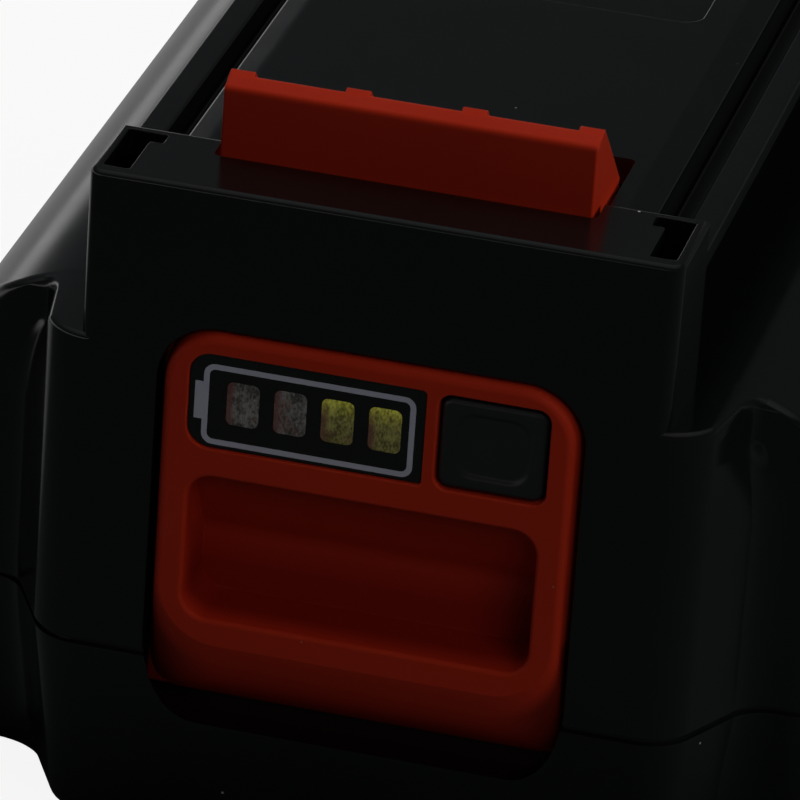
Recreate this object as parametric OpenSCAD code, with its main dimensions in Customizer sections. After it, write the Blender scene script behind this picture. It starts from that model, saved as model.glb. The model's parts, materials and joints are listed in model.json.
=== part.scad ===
// Slide-on tool battery with ten cells, a sprung latch and a charge gauge.
// Millimetres. +Z is up, -Y is the latch end, and X = 0 is the plane of symmetry.
// Depths called v run back from the housing's front face.

/* [Cells] */
// Diameter of one cell
cell_d = 18.4; // [17.5:0.1:20]
// Length of one cell
cell_len = 65.2; // [60:0.1:70]
// Radial clearance of a cell in its holder
cell_fit = 0.15; // [0.05:0.05:0.3]
// Plastic between neighbouring holder bores
holder_web = 0.6; // [0.4:0.1:2]
// Plastic round the outer holder bores
holder_rim = 0.9; // [0.6:0.1:2]
// Reach of each holder along the cells
holder_depth = 12; // [8:0.5:20]
// Thickness of a nickel strap
strap_t = 0.25; // [0.15:0.05:0.5]
// Width of a nickel strap
strap_w = 8; // [5:0.5:10]
// Width of a strap's solder tab
tab_w = 3.2; // [2:0.1:4]
// Thickness of an insulating sheet
sheet_t = 0.3; // [0.2:0.05:0.8]

/* [Housing] */
// Wall of both housing halves
wall = 2.5; // [2:0.1:3]
// Clearance between assembled pieces
fit = 0.3; // [0.2:0.05:0.4]
// Space between the cell ends and each side wall
side_room = 7.4; // [6.5:0.1:10]
// Height of the parting line above the base
parting_h = 19; // [16:0.5:21]
// How far the lower half draws in at the base
lower_taper = 2.4; // [0.5:0.1:3]
// How far the upper half draws in below its shoulder
upper_taper = 0.4; // [0.2:0.1:1]
// Radius round the base edge
foot_r = 2; // [1:0.1:2.2]
// Depth of the shadow groove at the parting line
groove = 0.4; // [0.2:0.1:0.8]
// Shoulder radius along the sides
side_shoulder_r = 13; // [8:0.5:14]
// Shoulder radius at the front
front_shoulder_r = 4; // [2:0.5:4.2]
// Shoulder radius at the rear
rear_shoulder_r = 6; // [3:0.5:9]
// Plan radius of the front body corners
front_corner_r = 6; // [5:0.1:6.5]
// Plan radius of the rear body corners
rear_corner_r = 12; // [6:0.5:16]

/* [Nose] */
// How far the nose stands in front of the body
nose_depth = 10; // [8:0.5:13]
// Plan radius of the nose corners
nose_corner_r = 5; // [4.8:0.1:6]
// Plan radius where the nose flares into the body
nose_blend_r = 4; // [2:0.5:5]
// Angle of the nose flanks to the front face
nose_flank = 62; // [55:1:75]
// Width of the small chamfer round the nose's top
nose_edge = 0.6; // [0.3:0.1:1.2]
// Flare that the nose keeps at its top
nose_top_flare = 2.7; // [1.5:0.1:4]

/* [Tower and rails] */
// Height of the shelf above the body's shoulder
tower_h = 15.5; // [14:0.5:18]
// Side thickness of the tower beside the latch
tower_wall = 6; // [5.5:0.1:8]
// Radius of the tower's upright corners
tower_corner_r = 1.2; // [0.5:0.1:2]
// Depth of the shelf from front to back
shelf_len = 10.4; // [10:0.1:14]
// Step down from the shelf to the deck
deck_drop = 1; // [0.5:0.1:1.5]
// Width of the deck's sloped edge
deck_slope_w = 2.3; // [1:0.1:3]
// Width of the upright slot beside the deck
rail_slot_w = 2.45; // [1.5:0.05:3]
// Depth of that slot
rail_slot_h = 2.65; // [1.5:0.05:3]
// Width of the flange strip outside the slot
rail_lip_w = 2.6; // [1.5:0.1:3.5]
// Step down from the shelf to the flange
rail_drop = 2.65; // [1.5:0.05:3]
// Thickness of the flange
rail_t = 4.55; // [4:0.05:5.5]
// Height of the flange's outer face
rail_face_h = 2.1; // [1.5:0.1:3]
// Step in below that face
rail_under = 1; // [0.5:0.1:1.5]
// Solid start of the slot behind the shelf
slot_lead = 3.2; // [1:0.1:6]
// Length of the rails behind the shelf
rail_len = 92; // [70:1:98]
// Depth of the shallow recess in the deck
deck_sink = 0.6; // [0.3:0.1:1]
// Reach of that recess in front of the terminal slots
deck_recess_len = 26; // [12:1:40]
// Reach of a corner pocket's bar along the shelf
pocket_bar = 3.5; // [2.8:0.1:4]
// Width of a corner pocket's bar
pocket_bar_w = 1.9; // [1:0.1:2.5]
// Width of a corner pocket's leg
pocket_leg_w = 2.3; // [1:0.1:2.6]
// Length of a corner pocket from front to back
pocket_len = 8; // [5:0.1:8.5]
// Plastic outside and behind a corner pocket
pocket_edge = 0.95; // [0.8:0.05:1.5]
// Depth of a corner pocket
pocket_h = 8; // [4:0.5:10]

/* [Latch] */
// Width of the button face
button_w = 36; // [32:0.5:39]
// Height of the button face
button_h = 30.8; // [29:0.1:33]
// Drop from the shelf to the top of the button face
button_drop = 12.3; // [11:0.1:13]
// How far the button face stands proud of the housing
button_proud = 0.6; // [0.2:0.1:1.5]
// Gap round the button face
button_gap = 0.9; // [0.5:0.1:1.5]
// Upper corner radius of the button face
button_top_r = 4.2; // [2:0.1:6]
// Lower corner radius of the button face
button_low_r = 6; // [4:0.1:8]
// Height of the sloping skirt under the button face
skirt_h = 6.3; // [5.5:0.1:6.8]
// How much steeper the skirt starts than its mean slope
skirt_bow = 1.4; // [1.2:0.05:1.6]
// Travel of the latch
latch_travel = 5; // [4:0.1:5.5]
// Overlap of the latch plate behind the opening
plate_lap = 0.9; // [0.5:0.1:1.2]
// Thickness of the latch plate
plate_t = 2.4; // [2:0.1:2.5]
// Thickness of the apron below the latch plate
apron_t = 1.2; // [1:0.1:1.5]
// Height of the apron below the latch plate
apron_h = 5; // [4:0.1:5.5]
// Side clearance of the latch plate
slide_fit = 0.2; // [0.15:0.05:0.3]
// Width of the locking tongue
tongue_w = 32.9; // [28:0.1:34]
// Height of the tongue's locking face above the shelf
tongue_h = 6.2; // [5.5:0.1:7]
// Depth from the front face to the locking face
tongue_v = 7.4; // [7:0.1:8]
// Depth of the tongue's narrow top
tongue_top = 1.9; // [1.5:0.1:2.5]
// Rise of the tongue's top from front to back
tongue_rise = 0.9; // [0:0.1:1.2]
// Angle of the tongue's back slope to the deck
tongue_slope = 45; // [43:1:50]
// Reach of the foot behind the tongue, under the deck
tongue_foot = 5; // [4:0.5:6]
// Width of a rib on the tongue's back
rib_w = 2.2; // [1:0.1:3]
// Height of a rib on the tongue's back
rib_h = 0.5; // [0.2:0.1:0.8]
// Width of the thumb recess
recess_w = 31.3; // [26:0.1:31.5]
// Height of the thumb recess
recess_h = 14; // [12:0.1:14.5]
// Drop from the top of the button face to the thumb recess
recess_drop = 14.4; // [14:0.1:14.8]
// Depth of the thumb recess at its top
recess_top_d = 1.4; // [0.8:0.1:2]
// Depth of the thumb recess at its ledge
recess_low_d = 6.4; // [6:0.1:6.8]
// Corner radius of the thumb recess
recess_r = 2.2; // [1:0.1:4]
// Wall round the thumb recess
recess_wall = 1.6; // [1.2:0.1:1.8]

/* [Latch springs] */
// Outer diameter of a spring
spring_d = 5.6; // [4.5:0.1:5.8]
// Wire diameter of a spring
spring_wire = 0.7; // [0.4:0.1:0.9]
// Turns of a spring
spring_turns = 8; // [5:1:9]
// Distance of each spring from the middle
spring_x = 9.5; // [6:0.5:13]
// Diameter of the pins that centre a spring
spring_pin_d = 3.4; // [2.5:0.1:3.6]
// Height of those pins
spring_pin_h = 3; // [1.5:0.1:3.5]

/* [Charge gauge] */
// Width of the label
label_w = 20.95; // [20:0.05:22]
// Height of the label
label_h = 9; // [8.5:0.1:9.2]
// Margin between the label and the edge of the button face
label_margin = 2.05; // [1.5:0.05:2.5]
// Drop from the top of the button face to the label
label_drop = 2.8; // [2.5:0.1:3.2]
// Depth of the label's recess
label_sink = 0.65; // [0.4:0.05:1]
// Thickness of the label
label_t = 0.3; // [0.1:0.05:0.35]
// Corner radius of the label
label_r = 2; // [0.5:0.1:3]
// Bar between the label and the charge button
divider = 1.1; // [0.8:0.1:2]
// Spacing of the gauge windows
lamp_pitch = 4.2; // [3.8:0.1:4.4]
// Width of a gauge window
lamp_w = 2.9; // [2:0.1:3.2]
// Height of a gauge window
lamp_h = 4.1; // [3:0.1:5]
// Shift of the windows from the middle of the label
lamp_shift = 0.65; // [0:0.05:1]
// Thickness of the gauge board
gauge_t = 1.2; // [0.8:0.1:1.6]
// Height of the gauge board
gauge_h = 11; // [10.5:0.1:11.2]
// Width of the gauge board
gauge_w = 37; // [36.5:0.1:39]
// Room between the latch plate and the gauge board
gauge_room = 2.8; // [2.5:0.1:3.2]
// Travel of the charge button
press_travel = 0.6; // [0.4:0.05:0.7]
// Travel of the switch plunger
plunger_travel = 0.3; // [0.2:0.05:0.3]
// Rest gap between the charge button and the plunger
press_gap = 0.35; // [0.35:0.01:0.4]
// Diameter of the charge button's stem
stem_d = 3; // [2:0.1:3.4]
// Side of the square switch body
switch_side = 6; // [5:0.1:6.2]
// Diameter of the switch plunger
plunger_d = 2.6; // [2:0.1:3]
// Thickness of the switch body
switch_t = 1.9; // [1.5:0.1:2]
// Diameter of one gauge wire
wire_d = 1.1; // [0.8:0.1:1.4]

/* [Main board and terminals] */
// Thickness of the main board
board_t = 1.6; // [1.2:0.1:2]
// Lift of the main board above the cell holders
board_lift = 0.5; // [0.4:0.1:2]
// Room between the main board and the roof
board_room = 1.3; // [1.2:0.1:3]
// Length of the main board
board_len = 84; // [80:1:86]
// Board beyond each row of solder tabs
board_edge = 0.6; // [0.5:0.05:0.8]
// Width of a power transistor
mosfet_w = 6.4; // [5:0.1:7]
// Length of a power transistor's body
mosfet_len = 6; // [5:0.1:8]
// Height of a power transistor
mosfet_h = 2.3; // [1.5:0.1:3]
// Spacing of the power transistors
mosfet_pitch = 8; // [7.2:0.1:9]
// Depth of the power transistors behind the board's front edge
mosfet_in = 14; // [12:0.5:18]
// Side of the control chip
chip_side = 10; // [7:0.1:12]
// Height of the control chip
chip_h = 1.5; // [1:0.1:2]
// Depth of the control chip behind the board's front edge
chip_in = 27; // [25:0.5:30]
// Length of the current-sensing resistor
shunt_len = 6.5; // [5:0.1:7]
// Diameter of a capacitor
cap_d = 4; // [3:0.1:4.2]
// Height of a capacitor
cap_h = 8.5; // [5:0.1:9]
// Depth of the capacitors behind the board's front edge
cap_in = 42; // [40:0.5:44]
// Drop from the deck to the foot of the terminal slots
term_drop = 12; // [11:0.1:12.5]
// Side of a terminal's solder pin
pin_w = 2; // [1.5:0.1:2.2]
// Width of a terminal slot
term_slot_w = 2.6; // [2:0.1:3]
// Length of a terminal slot
term_slot_len = 23; // [18:0.5:26]
// Spacing of the terminals
term_pitch = 7; // [6:0.1:7.4]
// Sheet thickness of a terminal clip
clip_t = 0.6; // [0.4:0.1:0.8]
// Height of a terminal clip's leaves
clip_h = 7.5; // [5:0.1:8]
// Length of a terminal clip
clip_len = 12; // [8:0.5:14]
// Gap between a terminal clip's leaves
clip_gap = 0.9; // [0.6:0.1:1.2]

/* [Screws] */
// Diameter of a housing screw's shank
screw_d = 3; // [2.5:0.1:3.2]
// Diameter of a housing screw's head
screw_head_d = 5; // [4.5:0.1:5.2]
// Length of a housing screw below its head
screw_len = 18; // [16:0.5:22]
// Depth of the housing screws' recesses in the base
screw_sink = 8; // [6:0.5:9]
// Wall round a screw in its boss
boss_wall = 1; // [0.8:0.1:1.2]
// Diameter of a board screw's shank
board_screw_d = 2; // [1.6:0.1:2.2]

/* [Hidden] */
$fn = 48;
arc_n = 6;
eps = 0.02;
cut = 1;
columns = 5;
layers = 2;

// Cell block
pitch = cell_d + 2*cell_fit + holder_web;
holder_len = columns*pitch - holder_web + 2*holder_rim;
holder_h = layers*pitch - holder_web + 2*holder_rim;
holder_z0 = wall + fit;
holder_z1 = holder_z0 + holder_h;
strap_x0 = cell_len/2;
sheet_x0 = strap_x0 + strap_t;

// Latch widths set the tower, and the tower sets the nose
button_half = button_w/2;
opening_half = button_half + button_gap;
plate_half = opening_half + plate_lap;
bay_half = plate_half + slide_fit;
tower_half = bay_half + tower_wall;
deck_half = tower_half - rail_lip_w - rail_slot_w;
rail_in_half = deck_half - wall;
boss_d = screw_head_d + 0.4 + 2*boss_wall;
front_boss_x = plate_half + fit + slide_fit + boss_d/2;
nose_half = front_boss_x + 1.2;
nose_room = bay_half + 2;

// Depths
plate_v0 = wall + fit;
plate_v1 = plate_v0 + plate_t;
gauge_v0 = plate_v1 + gauge_room;
gauge_v1 = gauge_v0 + gauge_t;
latch_bay = gauge_v1 + 4.3;
spring_v = plate_v1 + spring_d/2 + 0.2;
front_boss_v = wall + boss_d/2 + 2.4;
holder_v1 = latch_bay + holder_len;
rear_boss_v = holder_v1 + fit + boss_d/2;
rear_boss_x = cell_len/2 - boss_d;
body_len = rear_boss_v + boss_d/2 + wall + lower_taper;
pack_len = body_len + button_proud;
y0 = -pack_len/2 + button_proud;
rail_v1 = shelf_len + rail_len;

// Widths and heights
half_w = cell_len/2 + side_room + wall;
roof_z = holder_z1 + board_lift + board_t + board_room;
shoulder_h = roof_z + wall;
shelf_z = shoulder_h + tower_h;
deck_z = shelf_z - deck_drop;
rail_z1 = shelf_z - rail_drop;
rail_z0 = rail_z1 - rail_t;
button_z1 = shelf_z - button_drop;
button_z0 = button_z1 - button_h;
recess_z1 = button_z1 - recess_drop;
recess_z0 = recess_z1 - recess_h;
label_z1 = button_z1 - label_drop;
label_z0 = label_z1 - label_h;
label_z = (label_z0 + label_z1)/2;
label_x0 = -button_half + label_margin;
label_x1 = label_x0 + label_w;
press_x0 = label_x1 + divider;
press_x1 = button_half - label_margin;
press_x = (press_x0 + press_x1)/2;
lamp_x = (label_x0 + label_x1)/2 + lamp_shift;
gauge_z0 = recess_z1 + recess_wall + 1.1;
gauge_z1 = gauge_z0 + gauge_h;
plate_z1 = shelf_z - wall - 1;
plate_z0 = skirt_z(plate_v0);
seat_z = button_z0;
bridge_z0 = gauge_z1 + latch_travel + 0.6;
board_z0 = holder_z1 + board_lift;
board_z1 = board_z0 + board_t;
board_half = strap_x0 + strap_t + board_edge;
board_v0 = latch_bay + 6;
board_v1 = board_v0 + board_len;
board_screw_x = strap_x0 - holder_depth/2;
term_v1 = rail_v1 - wall - fit;
term_v0 = rail_v1 - term_slot_len - wall;
term_z0 = deck_z - term_drop;
clip_v = rail_v1 - wall - 3 - clip_len/2;

// Depth v as a Y coordinate
function yv(v) = y0 + v;

// Height of the skirt at depth v: it leaves the button face at a crease and bows in to the plate's lower edge
function skirt_z(v) =
  let (t = (min(max(v, -button_proud), plate_v0) + button_proud)/(plate_v0 + button_proud))
  button_z0 - skirt_h*t*(skirt_bow - (skirt_bow - 1)*t);

// Points on an arc about c
function arc(c, r, a0, a1, n = arc_n) =
  [for (i = [0:n]) let (a = a0 + (a1 - a0)*i/n) c + r*[cos(a), sin(a)]];

// Drop of a rounded edge of radius r, at height h above where it starts
function round_in(r, h) = h <= 0 ? 0 : r - sqrt(max(r*r - h*h, 0));

// Rounded rectangle, with its own radius at the low and the high side
function round_rect(x0, x1, z0, z1, r_low, r_high, n = arc_n) = concat(
  arc([x1 - r_low, z0 + r_low], r_low, -90, 0, n),
  arc([x1 - r_high, z1 - r_high], r_high, 0, 90, n),
  arc([x0 + r_high, z1 - r_high], r_high, 90, 180, n),
  arc([x0 + r_low, z0 + r_low], r_low, 180, 270, n));

// Plan outline of the body, drawn in by given amounts
function front_r(front) = max(front_corner_r - front, 1);
function body_ring(z, side, front, rear) =
  let (w = half_w - side, f = nose_depth + front, b = body_len - rear,
       rf = front_r(front), rb = max(rear_corner_r - rear, 1))
  [for (p = concat(arc([w - rf, f + rf], rf, -90, 0), arc([w - rb, b - rb], rb, 0, 90),
                   arc([rb - w, b - rb], rb, 90, 180), arc([rf - w, f + rf], rf, 180, 270)))
    [p[0], yv(p[1]), z]];

// Plan outline of the nose, drawn in by d, with its flare kept within x_max
flank_n = [sin(nose_flank), -cos(nose_flank)];
flank_t = [cos(nose_flank), sin(nose_flank)];
nose_c1 = [nose_half, nose_corner_r];
nose_p1 = nose_c1 + nose_corner_r*flank_n;
flank_len = (nose_depth - nose_blend_r - nose_blend_r*flank_n[1] - nose_p1[1])/flank_t[1];
nose_c2 = nose_p1 + flank_len*flank_t + nose_blend_r*flank_n;
function nose_side(d) = concat(
  arc(nose_c1, nose_corner_r - d, -90, nose_flank - 90),
  arc(nose_c2, nose_blend_r + d, nose_flank + 90, 90),
  [[nose_c2[0], nose_depth + 15]]);
function nose_ring(z, d, x_max) =
  let (x1 = nose_p1[0], n = 2*arc_n + 3,
       k = min(max(x_max - x1, nose_top_flare)/(nose_c2[0] - x1), 1),
       side = [for (p = nose_side(d)) [p[0] > x1 ? x1 + k*(p[0] - x1) : p[0], p[1]]])
  [for (p = concat(side, [for (i = [n - 1:-1:0]) [-side[i][0], side[i][1]]])) [p[0], yv(p[1]), z]];

// Closed skin through rings of equal count, each anticlockwise seen from the last ring's side
module skin(rings) {
  n = len(rings[0]);
  m = len(rings);
  sides = [for (j = [0:m - 2], i = [0:n - 1])
    let (k = (i + 1) % n, a = j*n + i, b = j*n + k, c = a + n, d = b + n)
    each [[a, c, d], [a, d, b]]];
  caps = [[for (i = [0:n - 1]) i], [for (i = [n - 1:-1:0]) (m - 1)*n + i]];
  polyhedron(points = [for (r = rings) each r], faces = concat(sides, caps), convexity = 6);
}

// Skin through level rings, run on straight at both ends and cut off flat at z0 and z1
module cut_skin(rings, z0, z1) {
  low = [for (p = rings[0]) [p[0], p[1], z0 - cut]];
  high = [for (p = rings[len(rings) - 1]) [p[0], p[1], z1 + cut]];
  intersection() {
    skin(concat([low], rings, [high]));
    box(-half_w - cut, half_w + cut, -cut, body_len + 20, z0, z1);
  }
}

// Flat shape in X and Z, thickened from depth v0 to v1
module plate_xz(points, v0, v1) {
  translate([0, yv(v1), 0]) rotate([90, 0, 0]) linear_extrude(v1 - v0) polygon(points);
}

// Side profile in depth and height, centred on X
module profile_vz(points, w) {
  translate([-w/2, y0, 0]) rotate([90, 0, 90]) linear_extrude(w) polygon(points);
}

// Box from its limits in X, depth and height
module box(x0, x1, v0, v1, z0, z1) {
  translate([x0, yv(v0), z0]) cube([x1 - x0, v1 - v0, z1 - z0]);
}

// Box on both sides of the middle
module box_pair(x0, x1, v0, v1, z0, z1) {
  box(x0, x1, v0, v1, z0, z1);
  box(-x1, -x0, v0, v1, z0, z1);
}

// Upright rod at a place in X and depth
module rod(x, v, z0, z1, d) {
  translate([x, yv(v), z0]) cylinder(d = d, h = z1 - z0);
}

// Places of the four housing screws
screw_places = [for (s = [-1, 1]) each [[s*front_boss_x, front_boss_v], [s*rear_boss_x, rear_boss_v]]];

// Heights of the rings round the upper half's shoulder
function side_in(z, t = 0) = upper_taper*min((z - parting_h)/(shoulder_h - side_shoulder_r - parting_h), 1)
  + round_in(side_shoulder_r - t, z - shoulder_h + side_shoulder_r);
shoulder_zs = concat([parting_h],
  [for (i = [0:arc_n]) shoulder_h - side_shoulder_r*(1 - sin(90*i/arc_n))]);
nose_zs = [for (z = concat(shoulder_zs, [shoulder_h - nose_edge, shoulder_h - eps]))
  if (z <= shoulder_h - nose_edge || z == shoulder_h - eps) z];

// Outside of the upper half without its tower
module upper_skin() {
  cut_skin([for (z = shoulder_zs) body_ring(z, side_in(z),
    round_in(front_shoulder_r, z - shoulder_h + front_shoulder_r),
    round_in(rear_shoulder_r, z - shoulder_h + rear_shoulder_r))], parting_h - cut, shoulder_h);
  side = [for (z = shoulder_zs) [half_w - side_in(z) - eps, z - eps]];
  intersection() {
    cut_skin([for (z = nose_zs) nose_ring(z, max(z - shoulder_h + nose_edge, 0),
      half_w - side_in(z) - front_r(0))], parting_h - cut, shoulder_h - eps);
    plate_xz(concat([[-half_w, 0], [half_w, 0]], side,
      [for (i = [len(side) - 1:-1:0]) [-side[i][0], side[i][1]]]), -cut, latch_bay + 20);
  }
}

// Hollow of the upper half
module upper_hollow() {
  r = side_shoulder_r - wall;
  zs = [for (i = [0:arc_n]) roof_z - r*(1 - sin(90*i/arc_n))];
  cut_skin([for (z = zs) body_ring(z, wall + upper_taper + round_in(r, z - roof_z + r), wall, wall)],
    parting_h - 2*cut, roof_z);
  box(-nose_room, nose_room, wall, latch_bay + 4, parting_h - 2*cut, roof_z - 1.2);
  box(-bay_half, bay_half, wall, shelf_len - 1, roof_z - 4, shelf_z - wall);
  box(-rail_in_half, rail_in_half, wall + 4, rail_v1 - wall, roof_z - 4, deck_z - wall);
}

// Tower with its shelf, and the rails behind it
module tower() {
  translate([0, 0, shoulder_h - 8]) linear_extrude(shelf_z - shoulder_h + 8) polygon([
    for (p = concat(arc([tower_half - tower_corner_r, tower_corner_r + eps], tower_corner_r, -90, 0),
      [[tower_half, shelf_len], [-tower_half, shelf_len]],
      arc([tower_corner_r - tower_half, tower_corner_r + eps], tower_corner_r, 180, 270)))
    [p[0], yv(p[1])]]);
  flat = deck_half - deck_slope_w;
  slot_x = deck_half + rail_slot_w;
  side = [[deck_half, shoulder_h - 4], [deck_half, rail_z0], [tower_half - rail_under, rail_z0],
    [tower_half - rail_under, rail_z1 - rail_face_h], [tower_half, rail_z1 - rail_face_h],
    [tower_half, rail_z1], [slot_x, rail_z1], [slot_x, rail_z1 - rail_slot_h],
    [deck_half, rail_z1 - rail_slot_h],
    [deck_half, deck_z - 0.6], [flat, deck_z]];
  plate_xz(concat(side, [for (i = [len(side) - 1:-1:0]) [-side[i][0], side[i][1]]]), shelf_len - 2, rail_v1);
  box_pair(deck_half - 1, slot_x + 1, shelf_len - 1, shelf_len + slot_lead,
    rail_z1 - rail_slot_h - 1, rail_z1 - eps);
}

// Opening in the front wall for the button, with room below it for the travel
module latch_opening() {
  vs = [-3, 0, 0.5, 1.1, 1.9, plate_v0, plate_v0 + 3];
  skin([for (v = vs) let (zb = skirt_z(max(v, 0)) - latch_travel - fit)
    [for (p = round_rect(-opening_half, opening_half, zb, button_z1 + button_gap,
        button_low_r - 1, button_top_r + button_gap))
      [-p[0], yv(v), p[1]]]]);
}

// L-shaped pockets in the shelf's corners
module corner_pockets() {
  x1 = tower_half - pocket_edge;
  v1 = shelf_len - pocket_edge;
  box_pair(x1 - pocket_bar, x1, v1 - pocket_bar_w, v1, shelf_z - pocket_h, shelf_z + cut);
  box_pair(x1 - pocket_leg_w, x1, v1 - pocket_len, v1, shelf_z - pocket_h, shelf_z + cut);
}

// Shallow recess in the deck, in front of the terminal slots
module deck_recess() {
  translate([0, 0, deck_z - deck_sink]) linear_extrude(deck_sink + cut)
    polygon(round_rect(-term_x(4) - 1.5, term_x(4) + 1.5, yv(rail_v1 - term_slot_len - deck_recess_len),
      yv(rail_v1 - term_slot_len - 3), 2, 2));
}

// Places of the terminals across the pack
function term_x(i) = (i - 2)*term_pitch;

module terminal_slots(z0) {
  for (i = [0:4]) box(term_x(i) - term_slot_w/2, term_x(i) + term_slot_w/2,
    rail_v1 - term_slot_len, rail_v1 + cut, z0, deck_z + cut);
}

// Ribs that guide the latch plate and hold the gauge board
module gauge_ribs() {
  x0 = max(bay_half - 2.4, recess_w/2 + recess_wall + fit);
  box_pair(x0, bay_half + 4, plate_v1 + fit, gauge_v0 - 0.1, gauge_z0, gauge_z1 + 1);
  box_pair(gauge_w/2 - 1, bay_half + 4, gauge_v1 + 0.1, gauge_v1 + 1.6, gauge_z0, gauge_z1 + 1);
}

module upper_housing() color([0.07, 0.07, 0.075]) difference() {
  union() {
    difference() {
      union() {
        upper_skin();
        tower();
      }
      upper_hollow();
    }
    gauge_ribs();
    for (p = screw_places) rod(p[0], p[1], parting_h - cut, roof_z + 0.5, boss_d);
  }
  box(-half_w - cut, half_w + cut, -20, body_len + 20, parting_h - 5*cut, parting_h);
  latch_opening();
  box(-tongue_w/2 - 0.45, tongue_w/2 + 0.45, tongue_v - 0.5, tongue_v + 14.8, shoulder_h, shelf_z + cut);
  corner_pockets();
  terminal_slots(term_z0);
  deck_recess();
  for (p = screw_places) rod(p[0], p[1], parting_h - cut, screw_sink + screw_len + 2, screw_d + 0.1);
}

// Outside of the lower half: drawn in towards the base, with a groove under the parting line
function lower_in(z) = lower_taper*(parting_h - z)/parting_h + round_in(foot_r, foot_r - z);
lower_zs = concat([for (i = [0:3]) foot_r*(1 - cos(30*i))], [parting_h - 1.5*groove]);
module lower_skin() {
  top = parting_h - groove;
  cut_skin(concat([for (z = lower_zs) let (d = lower_in(z)) body_ring(z, d, d, d)],
    [body_ring(top, groove, groove, groove)]), 0, parting_h);
  cut_skin(concat([for (z = lower_zs) let (d = lower_in(z)) nose_ring(z, d, half_w - d - front_r(d))],
    [nose_ring(top, groove, half_w - groove - front_r(groove))]), 0, parting_h);
}

module lower_hollow() {
  zs = [wall, parting_h + cut];
  d = [lower_in(wall) + wall, wall];
  cut_skin([for (i = [0, 1]) body_ring(zs[i], d[i], d[i], d[i])], wall, parting_h + cut);
  box(-nose_room, nose_room, d[0], latch_bay + 4, wall, parting_h + cut);
  block_x = sheet_x0 + sheet_t + fit;
  box(-block_x, block_x, latch_bay - fit, latch_bay + 5, wall, parting_h + cut);
  x = plate_half + fit;
  box(-x, x, wall, plate_v1 + 2, plate_z0 - latch_travel - fit, parting_h + cut);
  box(-x, x, plate_v1 - apron_t - fit, plate_v1 + 2,
    plate_z0 - apron_h - latch_travel - fit, parting_h + cut);
}

// Ribs that locate the cell block sideways
module block_ribs() {
  for (c = [0, 2, 4]) box_pair(sheet_x0 + sheet_t + fit, half_w - lower_taper - 1,
    cell_v(c) - 1, cell_v(c) + 1, wall - eps, parting_h - 1);
}

module lower_housing() color([0.07, 0.07, 0.075]) difference() {
  union() {
    difference() {
      lower_skin();
      lower_hollow();
    }
    block_ribs();
    for (p = screw_places) rod(p[0], p[1], 0.5, parting_h - fit, boss_d);
    for (s = [-1, 1]) rod(s*spring_x, spring_v, wall - eps, wall + spring_pin_h, spring_pin_d);
  }
  latch_opening();
  for (p = screw_places) {
    rod(p[0], p[1], -cut, screw_sink, screw_head_d + 0.4);
    rod(p[0], p[1], -cut, parting_h + cut, screw_d + 0.3);
  }
}

// Four screws with round heads, set in from the base
module housing_screws() color([0.55, 0.56, 0.58]) for (p = screw_places) difference() {
  union() {
    rod(p[0], p[1], screw_sink, screw_sink + screw_len, screw_d);
    rod(p[0], p[1], screw_sink - 2.2, screw_sink, screw_head_d);
  }
  rod(p[0], p[1], screw_sink - 2.2 - cut, screw_sink - 0.8, screw_head_d*0.45, $fn = 6);
}

// Latch: button block with its skirt, plate, recess box, bridge and tongue
module button_block() {
  vs = [-button_proud, -button_proud + 0.25, 0, 0.5, 1.1, 1.9, plate_v0];
  skin([for (v = vs) let (trim = v < -button_proud + 0.1 ? 0.4 : 0)
    [for (p = round_rect(trim - button_half, button_half - trim, skirt_z(v) + trim, button_z1 - trim,
        button_low_r, button_top_r))
      [-p[0], yv(v), p[1]]]]);
}

module tongue() {
  slope = tan(tongue_slope);
  top_v = tongue_v + tongue_top;
  top_z = shelf_z + tongue_h + tongue_rise;
  v_end = top_v + (top_z - deck_z + 1)/slope;
  foot_v = v_end + tongue_foot;
  foot_z = bridge_z0 + 1.5;
  profile_vz([[tongue_v, bridge_z0], [foot_v, bridge_z0], [foot_v, foot_z], [v_end, foot_z],
    [v_end, deck_z - 1], [top_v, top_z], [tongue_v, shelf_z + tongue_h]], tongue_w);
  for (i = [0:3]) translate([(i - 1.5)/3*(tongue_w - rib_w), 0, 0])
    profile_vz([[top_v - 0.6, top_z - 1], [v_end - 1.2, deck_z - 1 + 1.2*slope - 1],
      [v_end - 1.2 + rib_h, deck_z - 1 + 1.2*slope], [top_v + rib_h, top_z], [top_v - 0.6, top_z]], rib_w);
  profile_vz([[plate_v0, bridge_z0], [tongue_v + 2, bridge_z0], [tongue_v + 2, plate_z1],
    [plate_v0, plate_z1]], tongue_w);
}

// Side profile of the thumb recess: a ramp that ends in a deep ledge
module thumb_recess(grow = 0) {
  top = recess_top_d - button_proud + grow;
  low = recess_low_d - button_proud + grow;
  crease_z = recess_z0 + recess_h*0.45;
  x = recess_w/2 + grow;
  intersection() {
    profile_vz([[-3, recess_z0 - grow], [low, recess_z0 - grow], [low, crease_z], [top, recess_z1 + grow],
      [-3, recess_z1 + grow]], recess_w + 2*grow + 2);
    plate_xz(round_rect(-x, x, recess_z0 - grow, recess_z1 + grow, recess_r, recess_r), -4, 20);
  }
}

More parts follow.
